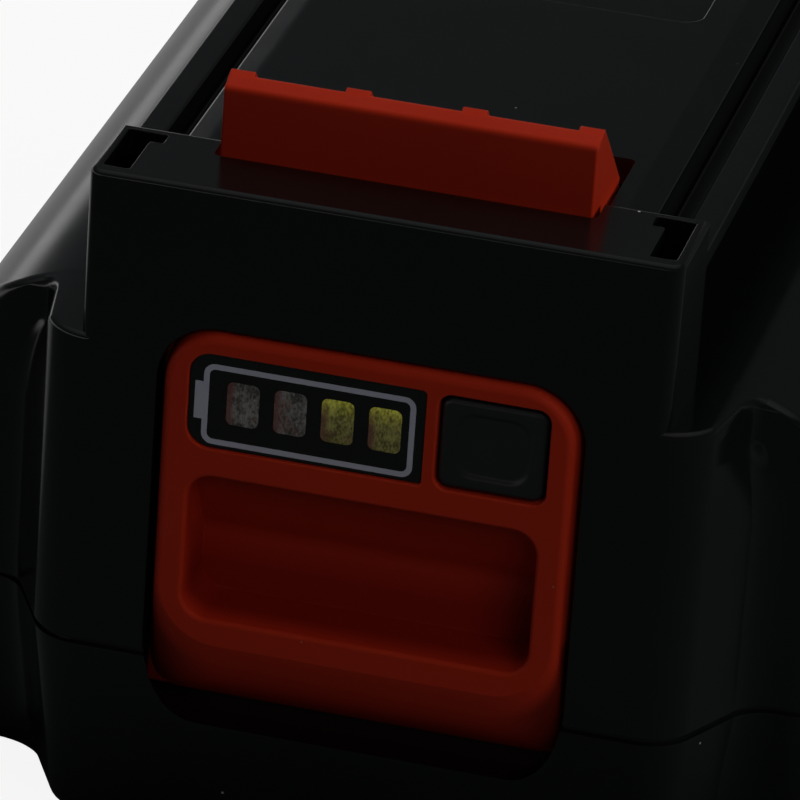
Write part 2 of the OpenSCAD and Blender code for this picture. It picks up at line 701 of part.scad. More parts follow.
module latch() color([0.82, 0.17, 0.06]) difference() {
  union() {
    button_block();
    box(-plate_half, plate_half, plate_v0 - eps, plate_v1, plate_z0, plate_z1);
    box(-plate_half, plate_half, plate_v1 - apron_t, plate_v1, plate_z0 - apron_h, plate_z0 + 1);
    intersection() {
      thumb_recess(recess_wall);
      box(-button_half, button_half, 0, 20, button_z0, plate_z1);
    }
    box(-button_half + 2, button_half - 2, 0.5, spring_v + spring_d/2 + 0.4, seat_z, recess_z0);
    for (s = [-1, 1]) rod(s*spring_x, spring_v, seat_z - spring_pin_h, seat_z + 1, spring_pin_d);
    tongue();
  }
  thumb_recess();
  plate_xz(round_rect(label_x0, label_x1, label_z0, label_z1, label_r, label_r),
    -button_proud - cut, label_sink - button_proud);
  for (i = [0:3]) lamp_block(i, -button_proud, plate_v1 + cut, 0.1);
  light_base(0.1, plate_v1 + cut);
  box(press_x0, press_x1, -button_proud - cut, plate_v1 + cut, label_z0, label_z1);
  box(press_x0 - 0.8, press_x1 + 0.8, plate_v0 - 1.2, plate_v1 + cut, label_z0 - 0.8, label_z1 + 0.8);
}

// One gauge window, grown by a clearance
module lamp_block(i, v0, v1, grow = 0) {
  x = lamp_x + (i - 1.5)*lamp_pitch;
  box(x - lamp_w/2 - grow, x + lamp_w/2 + grow, v0, v1, label_z - lamp_h/2 - grow, label_z + lamp_h/2 + grow);
}

// Back plate of the light guide, grown by a clearance
module light_base(grow, v1) {
  x = 1.5*lamp_pitch + lamp_w/2 + 0.8 + grow;
  z = lamp_h/2 + 0.8 + grow;
  box(lamp_x - x, lamp_x + x, plate_v0 - grow, v1, label_z - z, label_z + z);
}

module light_guide() color([0.75, 0.78, 0.55]) {
  for (i = [0:3]) lamp_block(i, label_sink - button_proud - label_t, plate_v0 + 0.5);
  light_base(0, plate_v1 - 0.6);
}

module gauge_label() color([0.03, 0.03, 0.035]) difference() {
  plate_xz(round_rect(label_x0 + 0.1, label_x1 - 0.1, label_z0 + 0.1, label_z1 - 0.1, label_r, label_r),
    label_sink - button_proud - label_t, label_sink - button_proud);
  for (i = [0:3]) lamp_block(i, -button_proud - cut, plate_v0, 0.1);
}

// Charge button: cap, flange behind the face, and stem
module charge_button() color([0.08, 0.08, 0.085]) {
  g = 0.25;
  plate_xz(round_rect(press_x0 + g, press_x1 - g, label_z0 + g, label_z1 - g, 0.6, 0.6),
    0.1 - button_proud, plate_v0 - 0.5);
  box(press_x0 - 0.5, press_x1 + 0.5, plate_v0 - 1, plate_v0, label_z0 - 0.5, label_z1 + 0.5);
  translate([press_x, yv(plate_v0 - eps), label_z]) rotate([-90, 0, 0])
    cylinder(d = stem_d, h = plunger_v0 - press_gap - plate_v0 + eps);
}

plunger_v0 = gauge_v0 - switch_t - plunger_travel;

module switch_body() color([0.12, 0.12, 0.13]) difference() {
  box(press_x - switch_side/2, press_x + switch_side/2, gauge_v0 - switch_t, gauge_v0,
    label_z - switch_side/2, label_z + switch_side/2);
  translate([press_x, yv(gauge_v0 - switch_t - cut), label_z]) rotate([-90, 0, 0])
    cylinder(d = plunger_d + 0.2, h = cut + plunger_travel + 0.8);
}

module switch_plunger() color([0.85, 0.8, 0.7])
  translate([press_x, yv(plunger_v0), label_z]) rotate([-90, 0, 0])
    cylinder(d = plunger_d, h = plunger_travel + 0.6);

module gauge_board() color([0.05, 0.3, 0.14])
  box(-gauge_w/2, gauge_w/2, gauge_v0, gauge_v1, gauge_z0, gauge_z1);

module gauge_leds() color([0.9, 0.92, 0.6]) for (i = [0:3]) {
  x = lamp_x + (i - 1.5)*lamp_pitch;
  box(x - 1, x + 1, gauge_v0 - 0.8, gauge_v0, label_z - 1.2, label_z + 1.2);
}

// Compression spring: one tube along a helix, standing on the floor
spring_z0 = wall + 0.05;
spring_len = seat_z - wall - 0.1;
module latch_spring(s) color([0.7, 0.71, 0.73]) {
  r = (spring_d - spring_wire)/2;
  steps = 12;
  rise = spring_len - spring_wire;
  skin([for (i = [0:steps*spring_turns])
    let (t = i/steps, a = 360*t, z = spring_z0 + spring_wire/2 + rise*t/spring_turns)
    [for (k = [0:5]) let (q = -60*k, rr = r + spring_wire/2*cos(q))
      [s*spring_x + rr*cos(a), yv(spring_v) + rr*sin(a), z + spring_wire/2*sin(q)]]]);
}

// Four wires from the back of the gauge board down to the main board
lead_z = board_z1 + 2.7;
lead_route = [[gauge_v1, lead_z], [gauge_v1 + 2, lead_z], [gauge_v1 + 5, lead_z + 0.4],
  [gauge_v1 + 9, lead_z + 0.7], [board_v0 + 1.5, lead_z + 0.6], [board_v0 + 3.2, lead_z],
  [board_v0 + 4, lead_z - 1], [board_v0 + 4.2, board_z1]];
module gauge_lead() color([0.55, 0.1, 0.08]) {
  n = len(lead_route);
  for (x = [-3, -1, 1, 3]*1.2) skin([for (i = [0:n - 1])
    let (t = i == 0 ? [1, 0] : i == n - 1 ? [0, -1] : lead_route[i + 1] - lead_route[i - 1], u = t/norm(t))
    [for (k = [0:7]) let (a = 45*k, p = lead_route[i] + wire_d/2*sin(a)*[-u[1], u[0]])
      [x - wire_d/2*cos(a), yv(p[0]), p[1]]]]);
}

// Cell places: column c from the front, layer l from the base
function cell_v(c) = latch_bay + holder_rim + cell_fit + cell_d/2 + c*pitch;
function cell_z(l) = holder_z0 + holder_rim + cell_fit + cell_d/2 + l*pitch;

// Column and layer of cell k along the series chain
function chain(k) = [floor(k/2), (k % 4 == 0 || k % 4 == 3) ? 0 : 1];

// One cell: can with a crimped neck and a ringed cap at its positive end
module cell(k) color([0.12, 0.35, 0.62]) {
  p = chain(k);
  r = cell_d/2;
  turn = k % 2 == 0 ? 90 : -90;
  translate([0, yv(cell_v(p[0])), cell_z(p[1])]) rotate([0, turn, 0]) rotate_extrude()
    polygon([[0, -cell_len/2], [r - 0.8, -cell_len/2], [r, -cell_len/2 + 0.8], [r, cell_len/2 - 4],
      [r - 0.7, cell_len/2 - 3.4], [r - 0.7, cell_len/2 - 2.6], [r, cell_len/2 - 2], [r, cell_len/2 - 0.6],
      [r - 0.6, cell_len/2], [6.4, cell_len/2], [6.4, cell_len/2 - 0.6], [3.8, cell_len/2 - 0.6],
      [3.8, cell_len/2], [0, cell_len/2]]);
}

// Places of the board screws, between the end columns
board_screw_vs = [(cell_v(0) + cell_v(1))/2, (cell_v(3) + cell_v(4))/2];

module cell_holder(s) color([0.2, 0.2, 0.21]) {
  x0 = s > 0 ? strap_x0 - holder_depth : -strap_x0;
  difference() {
    union() {
      box(x0, x0 + holder_depth, latch_bay, holder_v1, holder_z0, holder_z1);
      for (v = board_screw_vs) rod(s*board_screw_x, v, holder_z1 - eps, board_z0, 5);
    }
    for (c = [0:columns - 1], l = [0:layers - 1])
      translate([x0 - cut, yv(cell_v(c)), cell_z(l)]) rotate([0, 90, 0])
        cylinder(d = cell_d + 2*cell_fit, h = holder_depth + 2*cut);
    for (v = board_screw_vs) rod(s*board_screw_x, v, board_z0 - 5, board_z0 + cut, board_screw_d + 0.1);
  }
}

module board_screws() color([0.75, 0.75, 0.77]) for (s = [-1, 1], v = board_screw_vs) {
  rod(s*board_screw_x, v, board_z0 - 4.5, board_z1 + eps, board_screw_d);
  rod(s*board_screw_x, v, board_z1, board_z1 + 0.8, board_screw_d + 1.8);
}

// Strap over the cells from column c0, layer l0 to c1, l1, with a solder tab up to the board at depth v
module strap(s, c0, l0, c1, l1, v) color([0.78, 0.77, 0.72]) {
  w = strap_w/2;
  x0 = s > 0 ? strap_x0 : -strap_x0 - strap_t;
  va = min(cell_v(c0), cell_v(c1), v + w - tab_w/2);
  vb = max(cell_v(c0), cell_v(c1), v - w + tab_w/2);
  union() {
    box(x0, x0 + strap_t, va - w, vb + w, cell_z(l0) - w, cell_z(l1) + w);
    box(x0, x0 + strap_t, v - tab_w/2, v + tab_w/2, cell_z(l1), board_z1 + 0.3);
  }
}

// Depths of the solder tabs on each side
left_tabs = [for (c = [0:columns - 1]) cell_v(c)];
right_tabs = [cell_v(0), cell_v(1) + pitch/2, cell_v(2), cell_v(3) + pitch/2];
negative_tab = cell_v(0) - cell_d/2 + tab_w/2;
positive_tab = cell_v(columns - 1);

module insulator(s) color([0.62, 0.55, 0.42])
  box(s > 0 ? sheet_x0 : -sheet_x0 - sheet_t, s > 0 ? sheet_x0 + sheet_t : -sheet_x0,
    latch_bay, holder_v1, holder_z0, holder_z1);

module main_board() color([0.05, 0.32, 0.15]) difference() {
  box(-board_half, board_half, board_v0, board_v1, board_z0, board_z1);
  for (v = left_tabs) tab_slot(-1, v);
  for (v = concat(right_tabs, [negative_tab, positive_tab])) tab_slot(1, v);
  for (s = [-1, 1], v = board_screw_vs)
    rod(s*board_screw_x, v, board_z0 - cut, board_z1 + cut, board_screw_d + 0.3);
}

module tab_slot(s, v) {
  x = s*(strap_x0 + strap_t/2);
  w = strap_t/2 + 0.15;
  box(x - w, x + w, v - tab_w/2 - 0.2, v + tab_w/2 + 0.2, board_z0 - cut, board_z1 + cut);
}

// Four power transistors in a row under the rail cavity
module power_mosfets() color([0.1, 0.1, 0.11]) for (i = [0:3]) {
  x = (i - 1.5)*mosfet_pitch;
  v = board_v0 + mosfet_in;
  box(x - mosfet_w/2, x + mosfet_w/2, v, v + mosfet_len, board_z1, board_z1 + mosfet_h);
  box(x - mosfet_w*0.4, x + mosfet_w*0.4, v + mosfet_len, v + mosfet_len*4/3,
    board_z1, board_z1 + mosfet_h/2);
}

module control_chip() color([0.09, 0.09, 0.1])
  box(-chip_side/2, chip_side/2, board_v0 + chip_in, board_v0 + chip_in + chip_side,
    board_z1, board_z1 + chip_h);

module shunt_resistor() color([0.6, 0.45, 0.3]) {
  x = chip_side*0.8;
  v = board_v0 + chip_in + chip_side/2;
  box(x, x + shunt_len, v - shunt_len/4, v + shunt_len/4, board_z1, board_z1 + chip_h*0.6);
}

module storage_capacitors() color([0.15, 0.17, 0.24])
  for (x = [-3.5, -2.4]*cap_d) rod(x, board_v0 + cap_in, board_z1, board_z1 + cap_h, cap_d);

// Carrier of the terminal clips, from the main board up to the deck
module terminal_block() color([0.13, 0.13, 0.14]) difference() {
  x = min(rail_in_half - fit, term_x(4) + term_slot_w/2 + wall);
  box(-x, x, term_v0, term_v1, board_z1, deck_z - wall - fit);
  terminal_slots(term_z0);
  for (i = [0:4]) box(term_x(i) - clip_gap/2 - clip_t - 0.2, term_x(i) + clip_gap/2 + clip_t + 0.2,
    clip_v - clip_len/2 - 0.2, clip_v + clip_len/2 + 0.2, term_z0 - 1.5*clip_t - 0.1, deck_z);
  pin = pin_w/2 + 0.2;
  for (i = [0:4]) box(term_x(i) - pin, term_x(i) + pin, clip_v - pin, clip_v + pin, 0, deck_z);
}

// One terminal: two leaves on a base, with a solder pin down to the board
module terminal(i) color([0.8, 0.62, 0.3]) {
  x = term_x(i);
  half = clip_gap/2 + clip_t;
  v0 = clip_v - clip_len/2;
  v1 = clip_v + clip_len/2;
  z0 = term_z0 - 1.5*clip_t;
  box(x - half, x + half, v0, v1, z0, z0 + clip_t);
  box(x - half, x - half + clip_t, v0, v1, z0, z0 + clip_h);
  box(x + half - clip_t, x + half, v0, v1, z0, z0 + clip_h);
  box(x - pin_w/2, x + pin_w/2, clip_v - pin_w/2, clip_v + pin_w/2, board_z1, z0 + eps);
}

upper_housing();
lower_housing();
latch();
latch_spring(-1);  // latch_spring_left
latch_spring(1);  // latch_spring_right
gauge_label();
light_guide();
charge_button();
gauge_board();
gauge_leds();
switch_body();
switch_plunger();
gauge_lead();
main_board();
power_mosfets();
control_chip();
shunt_resistor();
storage_capacitors();
terminal_block();
terminal(0);  // terminal_negative
for (i = [1:3]) terminal(i);
terminal(4);  // terminal_positive
for (k = [0:8]) cell(k);
cell(9);  // cell_10
cell_holder(-1);  // cell_holder_left
cell_holder(1);  // cell_holder_right
for (c = [0:4]) strap(-1, c, 0, c, 1, left_tabs[c]);
for (i = [0:3]) strap(1, i, (i + 1) % 2, i + 1, (i + 1) % 2, right_tabs[i]);
strap(1, 0, 0, 0, 0, negative_tab);  // tab_negative
strap(1, 4, 1, 4, 1, positive_tab);  // tab_positive
insulator(-1);  // insulator_left
insulator(1);  // insulator_right
housing_screws();
board_screws();
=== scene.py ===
# %% [markdown]
# # A slide-on tool battery, dressed
# The solids come in as a fixed frame, and every piece below sits on it in the same place.
# Sizes are written in millimetres, because that is how such a pack is drawn, and turned into metres when a mesh
# is made. Y0 is the front face of the housing, and the latch's button stands a little proud of it.

# %% Load the frame
import json
import math
import bpy
import bmesh
from mathutils import Matrix, Vector


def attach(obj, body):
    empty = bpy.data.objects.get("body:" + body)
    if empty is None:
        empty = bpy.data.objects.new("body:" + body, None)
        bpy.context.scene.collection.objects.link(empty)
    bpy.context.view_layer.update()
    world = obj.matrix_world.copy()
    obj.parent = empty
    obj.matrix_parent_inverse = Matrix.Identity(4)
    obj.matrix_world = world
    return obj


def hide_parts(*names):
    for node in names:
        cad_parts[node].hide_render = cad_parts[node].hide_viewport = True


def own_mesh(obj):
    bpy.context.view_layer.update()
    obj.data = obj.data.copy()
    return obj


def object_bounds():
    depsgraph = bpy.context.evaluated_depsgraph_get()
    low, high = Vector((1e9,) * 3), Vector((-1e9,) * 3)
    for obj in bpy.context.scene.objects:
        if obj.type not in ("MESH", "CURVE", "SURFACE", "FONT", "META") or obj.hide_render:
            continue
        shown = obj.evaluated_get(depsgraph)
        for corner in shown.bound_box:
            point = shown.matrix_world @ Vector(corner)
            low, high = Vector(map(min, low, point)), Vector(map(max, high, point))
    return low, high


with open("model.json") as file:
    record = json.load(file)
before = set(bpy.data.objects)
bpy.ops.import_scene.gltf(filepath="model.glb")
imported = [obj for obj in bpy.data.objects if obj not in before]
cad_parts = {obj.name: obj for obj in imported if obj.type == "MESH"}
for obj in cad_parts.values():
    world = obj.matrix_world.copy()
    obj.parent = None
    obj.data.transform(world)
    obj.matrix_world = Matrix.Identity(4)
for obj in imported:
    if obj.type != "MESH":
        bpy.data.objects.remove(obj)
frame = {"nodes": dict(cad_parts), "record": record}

scene = bpy.context.scene
scene.view_settings.view_transform = "Standard"
cad_low, cad_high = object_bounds()
MM = 0.001
PROUD = 0.6
Y0 = cad_low.y / MM + PROUD
print("solids:", len(frame["nodes"]), "box in mm:", [round(v / MM, 1) for v in cad_high - cad_low])

# %% [markdown]
# ## The camera
# The picture is a close look at the latch end from the front, a little from the right and from above.
# A long lens far away gives its flat perspective, so the camera is written as a place and three directions.

# %% Camera
def shown(name, data):
    obj = bpy.data.objects.new(name, data)
    scene.collection.objects.link(obj)
    return obj

PHOTO_PIXELS, FOCAL_PIXELS, SENSOR_MM = 800, 7510.0, 36.0
lens_place = Vector((129.975, -620.882, 328.930)) * MM
look_right = Vector((0.9656, 0.2522, 0.0640)).normalized()
look_ahead = Vector((-0.1994, 0.8753, -0.4406)).normalized()
look_right = (look_right - look_ahead * look_right.dot(look_ahead)).normalized()
look_up = look_right.cross(look_ahead)
camera_data = bpy.data.cameras.new("photo_camera")
camera_data.sensor_width = SENSOR_MM
camera_data.lens = SENSOR_MM * FOCAL_PIXELS / PHOTO_PIXELS
camera_data.clip_start, camera_data.clip_end = 0.05, 50.0
camera = shown("photo_camera", camera_data)
turn = Matrix((look_right, look_up, -look_ahead)).transposed().to_4x4()
camera.matrix_world = Matrix.Translation(lens_place) @ turn
scene.camera = camera
print("lens of", round(camera_data.lens, 1), "mm")

# %% [markdown]
# ## Lamps
# The real light falls mostly from above and behind: the tongue's top is bright and the front face lies in shade.
# Spot lamps would give hard shadows, so round area lamps do it: a broad one overhead, weaker ones in front and at the
# right. Glossy faces don't mirror them, because the surroundings below are drawn for that.

# %% Lamps
def lamp(name, place, target, size, watts):
    data = bpy.data.lights.new(name, "AREA")
    data.shape, data.size, data.energy = "DISK", size, watts
    obj = shown(name, data)
    obj.location = place
    obj.rotation_euler = (Vector(target) - Vector(place)).to_track_quat("-Z", "Y").to_euler()
    obj.visible_glossy = False
    return obj

lamps = [lamp("overhead_lamp", (-0.12, 0.16, 0.62), (0, -0.01, 0.04), 0.42, 1.7),
    lamp("front_fill", (0.28, -0.45, 0.40), (0, -0.05, 0.04), 0.30, 0.46),
    lamp("right_side", (0.70, 0.05, 0.30), (0, 0, 0.05), 0.4, 1.7)]
print("lamps:", [o.name for o in lamps])

# %% [markdown]
# ## Helpers for node trees
# Surroundings and finishes are drawn with nodes. The same few kinds come back all the time, so each kind gets a
# function that takes sockets or plain values and returns the socket it made.

# %% Node helpers
def shader_tree(owner):
    owner.use_nodes = True
    owner.node_tree.nodes.clear()
    return owner.node_tree

def add(tree, kind, **settings):
    node = tree.nodes.new(kind)
    for key, value in settings.items():
        setattr(node, key, value)
    return node

def put(tree, socket, value):
    if isinstance(value, bpy.types.NodeSocket):
        tree.links.new(value, socket)
    else:
        socket.default_value = value + (1,) if isinstance(value, tuple) else value

def remap(tree, value, low, high, to_low, to_high):
    node = add(tree, "ShaderNodeMapRange")
    for slot, number in enumerate((value, low, high, to_low, to_high)):
        put(tree, node.inputs[slot], number)
    return node.outputs[0]

def mixed(tree, share, one, two, kind="MIX"):
    node = add(tree, "ShaderNodeMix", data_type="RGBA", blend_type=kind)
    for slot, value in ((0, share), (6, one), (7, two)):
        put(tree, node.inputs[slot], value)
    return node.outputs[2]

def maths(tree, kind, one, two):
    node = add(tree, "ShaderNodeMath", operation=kind)
    put(tree, node.inputs[0], one)
    put(tree, node.inputs[1], two)
    return node.outputs[0]

def times(tree, one, two):
    return maths(tree, "MULTIPLY", one, two)

def larger(tree, one, two):
    return maths(tree, "MAXIMUM", one, two)

def noise(tree, place, scale, detail=2.0):
    node = add(tree, "ShaderNodeTexNoise")
    for label, value in (("Vector", place), ("Scale", scale), ("Detail", detail)):
        put(tree, node.inputs[label], value)
    return node.outputs["Fac"]

def parts_of(tree, vector):
    node = add(tree, "ShaderNodeSeparateXYZ")
    tree.links.new(vector, node.inputs[0])
    return node.outputs

print("node helpers ready")

# %% [markdown]
# ## Surroundings
# The background is white to the camera. A world that shines white would light the part too much, so a Light Path node
# tells apart who looks: the camera sees white, soft light is faint, and glossy faces mirror a drawn room with a white
# wall low on the left, which the rounded shoulder shows, and a soft glow overhead.

# %% World
world = bpy.data.worlds.new("studio")
scene.world = world
tree = shader_tree(world)
rays = add(tree, "ShaderNodeLightPath").outputs
across, _, upward = parts_of(tree, add(tree, "ShaderNodeTexCoord").outputs["Generated"])
band = add(tree, "ShaderNodeValToRGB")
low_stop, high_stop = band.color_ramp.elements
low_stop.position, low_stop.color = 0.10, (0.9, 0.9, 0.9, 1)
high_stop.position, high_stop.color = 0.17, (0.02, 0.022, 0.026, 1)
tree.links.new(upward, band.inputs["Fac"])
left_wall = mixed(tree, 1.0, band.outputs["Color"], remap(tree, across, -0.30, -0.12, 1.0, 0.06), "MULTIPLY")
room = mixed(tree, 1.0, left_wall, remap(tree, upward, 0.6, 0.95, 0.034, 0.24), "ADD")
mirrors = larger(tree, rays["Is Glossy Ray"], rays["Is Transmission Ray"])
unseen = mixed(tree, mirrors, (0.03, 0.03, 0.031), room)
glow = add(tree, "ShaderNodeBackground")
tree.links.new(mixed(tree, rays["Is Camera Ray"], unseen, (1, 1, 1)), glow.inputs["Color"])
tree.links.new(glow.outputs[0], add(tree, "ShaderNodeOutputWorld").inputs["Surface"])
print("world:", world.name)

# %% [markdown]
# ## The floor
# A large pale sheet. To the camera it is white, with the part's shadow. Glossy faces see it pale only at the rear left,
# as the rounded side of the real pack does; elsewhere it is dim, so that the dark front stays dark.

# %% Floor
REACH, JUST_BELOW = 4.0, 0.0002
floor_mat = bpy.data.materials.new("pale_floor")
tree = shader_tree(floor_mat)
rays = add(tree, "ShaderNodeLightPath").outputs
places = add(tree, "ShaderNodeTexCoord").outputs
tone = mixed(tree, noise(tree, places["Generated"], 3.0), (0.86, 0.86, 0.86), (0.9, 0.9, 0.9))
x, y, _ = parts_of(tree, places["Object"])
rear_left = times(tree, remap(tree, x, -0.045, -0.06, 0.0, 1.0), remap(tree, y, -0.03, 0.02, 0.0, 1.0))
pale = larger(tree, rays["Is Camera Ray"], times(tree, rear_left, rays["Is Glossy Ray"]))
matt = add(tree, "ShaderNodeBsdfDiffuse")
tree.links.new(mixed(tree, pale, (0.08, 0.094, 0.088), tone), matt.inputs["Color"])
white = add(tree, "ShaderNodeEmission")
tree.links.new(remap(tree, rays["Is Camera Ray"], 0.0, 1.0, 0.3, 1.0), white.inputs["Strength"])
blend = add(tree, "ShaderNodeMixShader")
for slot, value in enumerate((times(tree, pale, 0.9), matt.outputs[0], white.outputs[0])):
    tree.links.new(value, blend.inputs[slot])
tree.links.new(blend.outputs[0], add(tree, "ShaderNodeOutputMaterial").inputs["Surface"])
floor_mesh = bpy.data.meshes.new("floor")
floor_mesh.from_pydata([(-REACH, -REACH, 0), (REACH, -REACH, 0), (REACH, REACH, 0), (-REACH, REACH, 0)], [],
    [(0, 1, 2, 3)])
floor = shown("floor", floor_mesh)
floor.data.materials.append(floor_mat)
floor.location.z = -JUST_BELOW
print("floor", 2 * REACH, "m wide")

# %% [markdown]
# ## Building blocks of a finish
# Every finish reads Object coordinates in metres, so a scale of 1000 means marks about a millimetre apart.
# An edge mask comes from comparing the true normal with one rounded over a short distance: the two differ only at
# edges.
# Dust comes from a few picked cells of a cell pattern, with a small dot at the middle of each.

# %% Building blocks
def finish_of(name, rough=0.4, metal=0.0):
    mat = bpy.data.materials.new(name)
    tree = shader_tree(mat)
    skin = add(tree, "ShaderNodeBsdfPrincipled")
    tree.links.new(skin.outputs[0], add(tree, "ShaderNodeOutputMaterial").inputs["Surface"])
    skin.inputs["Roughness"].default_value = rough
    skin.inputs["Metallic"].default_value = metal
    return mat, tree, skin, add(tree, "ShaderNodeTexCoord").outputs["Object"]

def surface(tree, skin, colour, rough):
    tree.links.new(colour, skin.inputs["Base Color"])
    tree.links.new(rough, skin.inputs["Roughness"])

def stretch(tree, place, scale, turned=(0, 0, 0)):
    node = add(tree, "ShaderNodeMapping")
    node.inputs["Scale"].default_value = scale
    node.inputs["Rotation"].default_value = turned
    tree.links.new(place, node.inputs["Vector"])
    return node.outputs[0]

def bumped(tree, skin, height, strength, depth_mm):
    node = add(tree, "ShaderNodeBump")
    for label, value in (("Strength", strength), ("Distance", depth_mm * MM), ("Height", height)):
        put(tree, node.inputs[label], value)
    tree.links.new(node.outputs[0], skin.inputs["Normal"])

def edge_mask(tree, radius_mm):
    worn = add(tree, "ShaderNodeBevel", samples=6)
    worn.inputs["Radius"].default_value = radius_mm * MM
    true = add(tree, "ShaderNodeNewGeometry")
    dot = add(tree, "ShaderNodeVectorMath", operation="DOT_PRODUCT")
    tree.links.new(worn.outputs[0], dot.inputs[0])
    tree.links.new(true.outputs["Normal"], dot.inputs[1])
    return remap(tree, dot.outputs["Value"], 0.985, 0.90, 0.0, 1.0)

def dust(tree, place, per_metre, size):
    cells = add(tree, "ShaderNodeTexVoronoi")
    put(tree, cells.inputs["Scale"], per_metre)
    put(tree, cells.inputs["Vector"], place)
    near = remap(tree, cells.outputs["Distance"], size, size * 0.5, 0.0, 1.0)
    pick = add(tree, "ShaderNodeSeparateColor")
    tree.links.new(cells.outputs["Color"], pick.inputs[0])
    return times(tree, near, remap(tree, pick.outputs[0], 0.72, 0.78, 0.0, 1.0))

print("building blocks ready")

# %% [markdown]
# ## Black plastic
# The housing is black plastic with a faint moulded grain, specks of dust and edges rubbed a little paler. A painted
# texture could show all that, but nodes stay sharp at any distance and need no unwrapping.

# %% Black plastic
def black_plastic(name, low, high, gloss, grain):
    mat, tree, skin, place = finish_of(name)
    colour = mixed(tree, noise(tree, place, 70), low, high)
    patchy = remap(tree, noise(tree, place, 420, 4), 0.42, 0.62, 0.15, 1.0)
    scuff = times(tree, edge_mask(tree, 0.45), patchy)
    colour = mixed(tree, times(tree, scuff, 0.12), colour, (0.03, 0.03, 0.031))
    specks = dust(tree, place, 190, 0.03)
    colour = mixed(tree, times(tree, specks, 0.8), colour, (0.5, 0.5, 0.48))
    rough = remap(tree, noise(tree, place, 160, 3), 0.3, 0.7, gloss, gloss + 0.04)
    surface(tree, skin, colour, maths(tree, "ADD", rough, times(tree, specks, 0.4)))
    bumped(tree, skin, noise(tree, place, grain, 2), 0.15, 0.01)
    return mat

HOUSING = black_plastic("housing_black", (0.0030, 0.0036, 0.0036), (0.0044, 0.0052, 0.0052), 0.16, 1500)
BUTTON = black_plastic("button_black", (0.010, 0.010, 0.011), (0.014, 0.014, 0.015), 0.38, 3200)
print("finishes:", HOUSING.name, BUTTON.name)

# %% [markdown]
# ## Red plastic of the latch
# The latch is a warm red. Its edges are paler, partly from rubbing and partly as a painted highlight on the rims.
# Painted shade darkens the tongue above the shelf, the ledge of the thumb recess, the lower skirt, the plate behind it
# and the skirt's lower corners. Each mark is a soft band in height, depth or distance from the middle, and bands are
# multiplied where only their overlap counts.

# %% Red plastic
def latch_plastic(name):
    mat, tree, skin, place = finish_of(name)
    x, y, z = parts_of(tree, place)

    def band(value, start, end, most=1.0):
        return remap(tree, value, start * MM, end * MM, 0.0, most)

    colour = mixed(tree, noise(tree, place, 55, 3), (0.50, 0.028, 0.008), (0.58, 0.034, 0.010))
    patchy = remap(tree, noise(tree, place, 500, 3), 0.4, 0.65, 0.2, 1.0)
    # Paler edges: partly rubbed wear, partly a painted highlight along the rims.
    rub_and_painted_highlight = times(tree, edge_mask(tree, 0.4), patchy)
    colour = mixed(tree, times(tree, rub_and_painted_highlight, 0.5), colour, (0.7, 0.10, 0.035))
    specks = dust(tree, place, 230, 0.03)
    colour = mixed(tree, times(tree, specks, 0.35), colour, (0.5, 0.36, 0.3))
    # Painted shade: the tongue above the shelf is darkened.
    colour = mixed(tree, band(z, 62.5, 64.5, 0.5), colour, (0.24, 0.012, 0.003))
    # Painted shade: the lower part of the thumb recess, towards its ledge, is darkened to a deep red.
    painted_ledge_shade = times(tree, band(y, Y0 + 0.2, Y0 + 2.5), band(z, 31.5, 26.0, 0.62))
    colour = mixed(tree, painted_ledge_shade, colour, (0.14, 0.002, 0.001))
    # Painted shade, nearly black: the lower skirt, the plate and apron behind it, and the skirt's lower corners.
    sideways = maths(tree, "ABSOLUTE", x, 0.0)
    bottom = times(tree, band(sideways, 12.5, 17.0), band(z, 23.2, 22.6))
    flank = times(tree, band(sideways, 15.8, 17.2), band(z, 27.0, 26.0))
    corners = times(tree, band(y, Y0 - 0.1, Y0 + 0.5, 0.6), larger(tree, bottom, flank))
    plate = larger(tree, band(z, 15.3, 14.7), band(sideways, 18.2, 18.6))
    plate = times(tree, band(y, Y0 + 2.7, Y0 + 2.9, 0.98), plate)
    painted_shade_below = larger(tree, band(z, 17.0, 10.5, 0.97), larger(tree, corners, plate))
    colour = mixed(tree, painted_shade_below, colour, (0.004, 0.003, 0.0025))
    surface(tree, skin, colour, remap(tree, noise(tree, place, 260, 3), 0.3, 0.7, 0.42, 0.54))
    skin.inputs["Specular IOR Level"].default_value = 0.2
    bumped(tree, skin, noise(tree, place, 2600, 2), 0.22, 0.012)
    return mat

LATCH = latch_plastic("latch_red")
print("finish:", LATCH.name)

# %% [markdown]
# ## Outlines
# A moulding is drawn as outlines: arcs, rounded rectangles, eased corners and mirrored halves. An outline can be grown
# evenly for a rounded rim, and levels give the heights at which a rounding is cut.

# %% Outlines
def arc(centre, radius, start, end, n):
    turns = [math.radians(start + (end - start) * i / n) for i in range(n + 1)]
    return [(centre[0] + radius * math.cos(a), centre[1] + radius * math.sin(a)) for a in turns]

def circle(x, v, radius, n=32):
    return arc((x, v), radius, 0, 360 - 360 / n, n - 1)

def round_rect(x0, x1, z0, z1, low, high, n=8):
    return (arc((x1 - low, z0 + low), low, -90, 0, n) + arc((x1 - high, z1 - high), high, 0, 90, n)
        + arc((x0 + high, z1 - high), high, 90, 180, n) + arc((x0 + low, z0 + low), low, 180, 270, n))

def eased(points, radius, n=4):
    made = []
    for i, p in enumerate(points):
        p, before, after = Vector(p), Vector(points[i - 1]), Vector(points[(i + 1) % len(points)])
        a, b = before - p, after - p
        cut = min(radius, 0.45 * a.length, 0.45 * b.length)
        a, b = p + a.normalized() * cut, p + b.normalized() * cut
        made += [tuple(a * (1 - t) ** 2 + p * 2 * t * (1 - t) + b * t * t) for t in [k / n for k in range(n + 1)]]
    return made

def next_apart(points, i, way):
    count = len(points)
    around = (points[(i + way * k) % count] for k in range(1, count))
    return next(q for q in around if math.dist(points[i], q) > 1e-6)

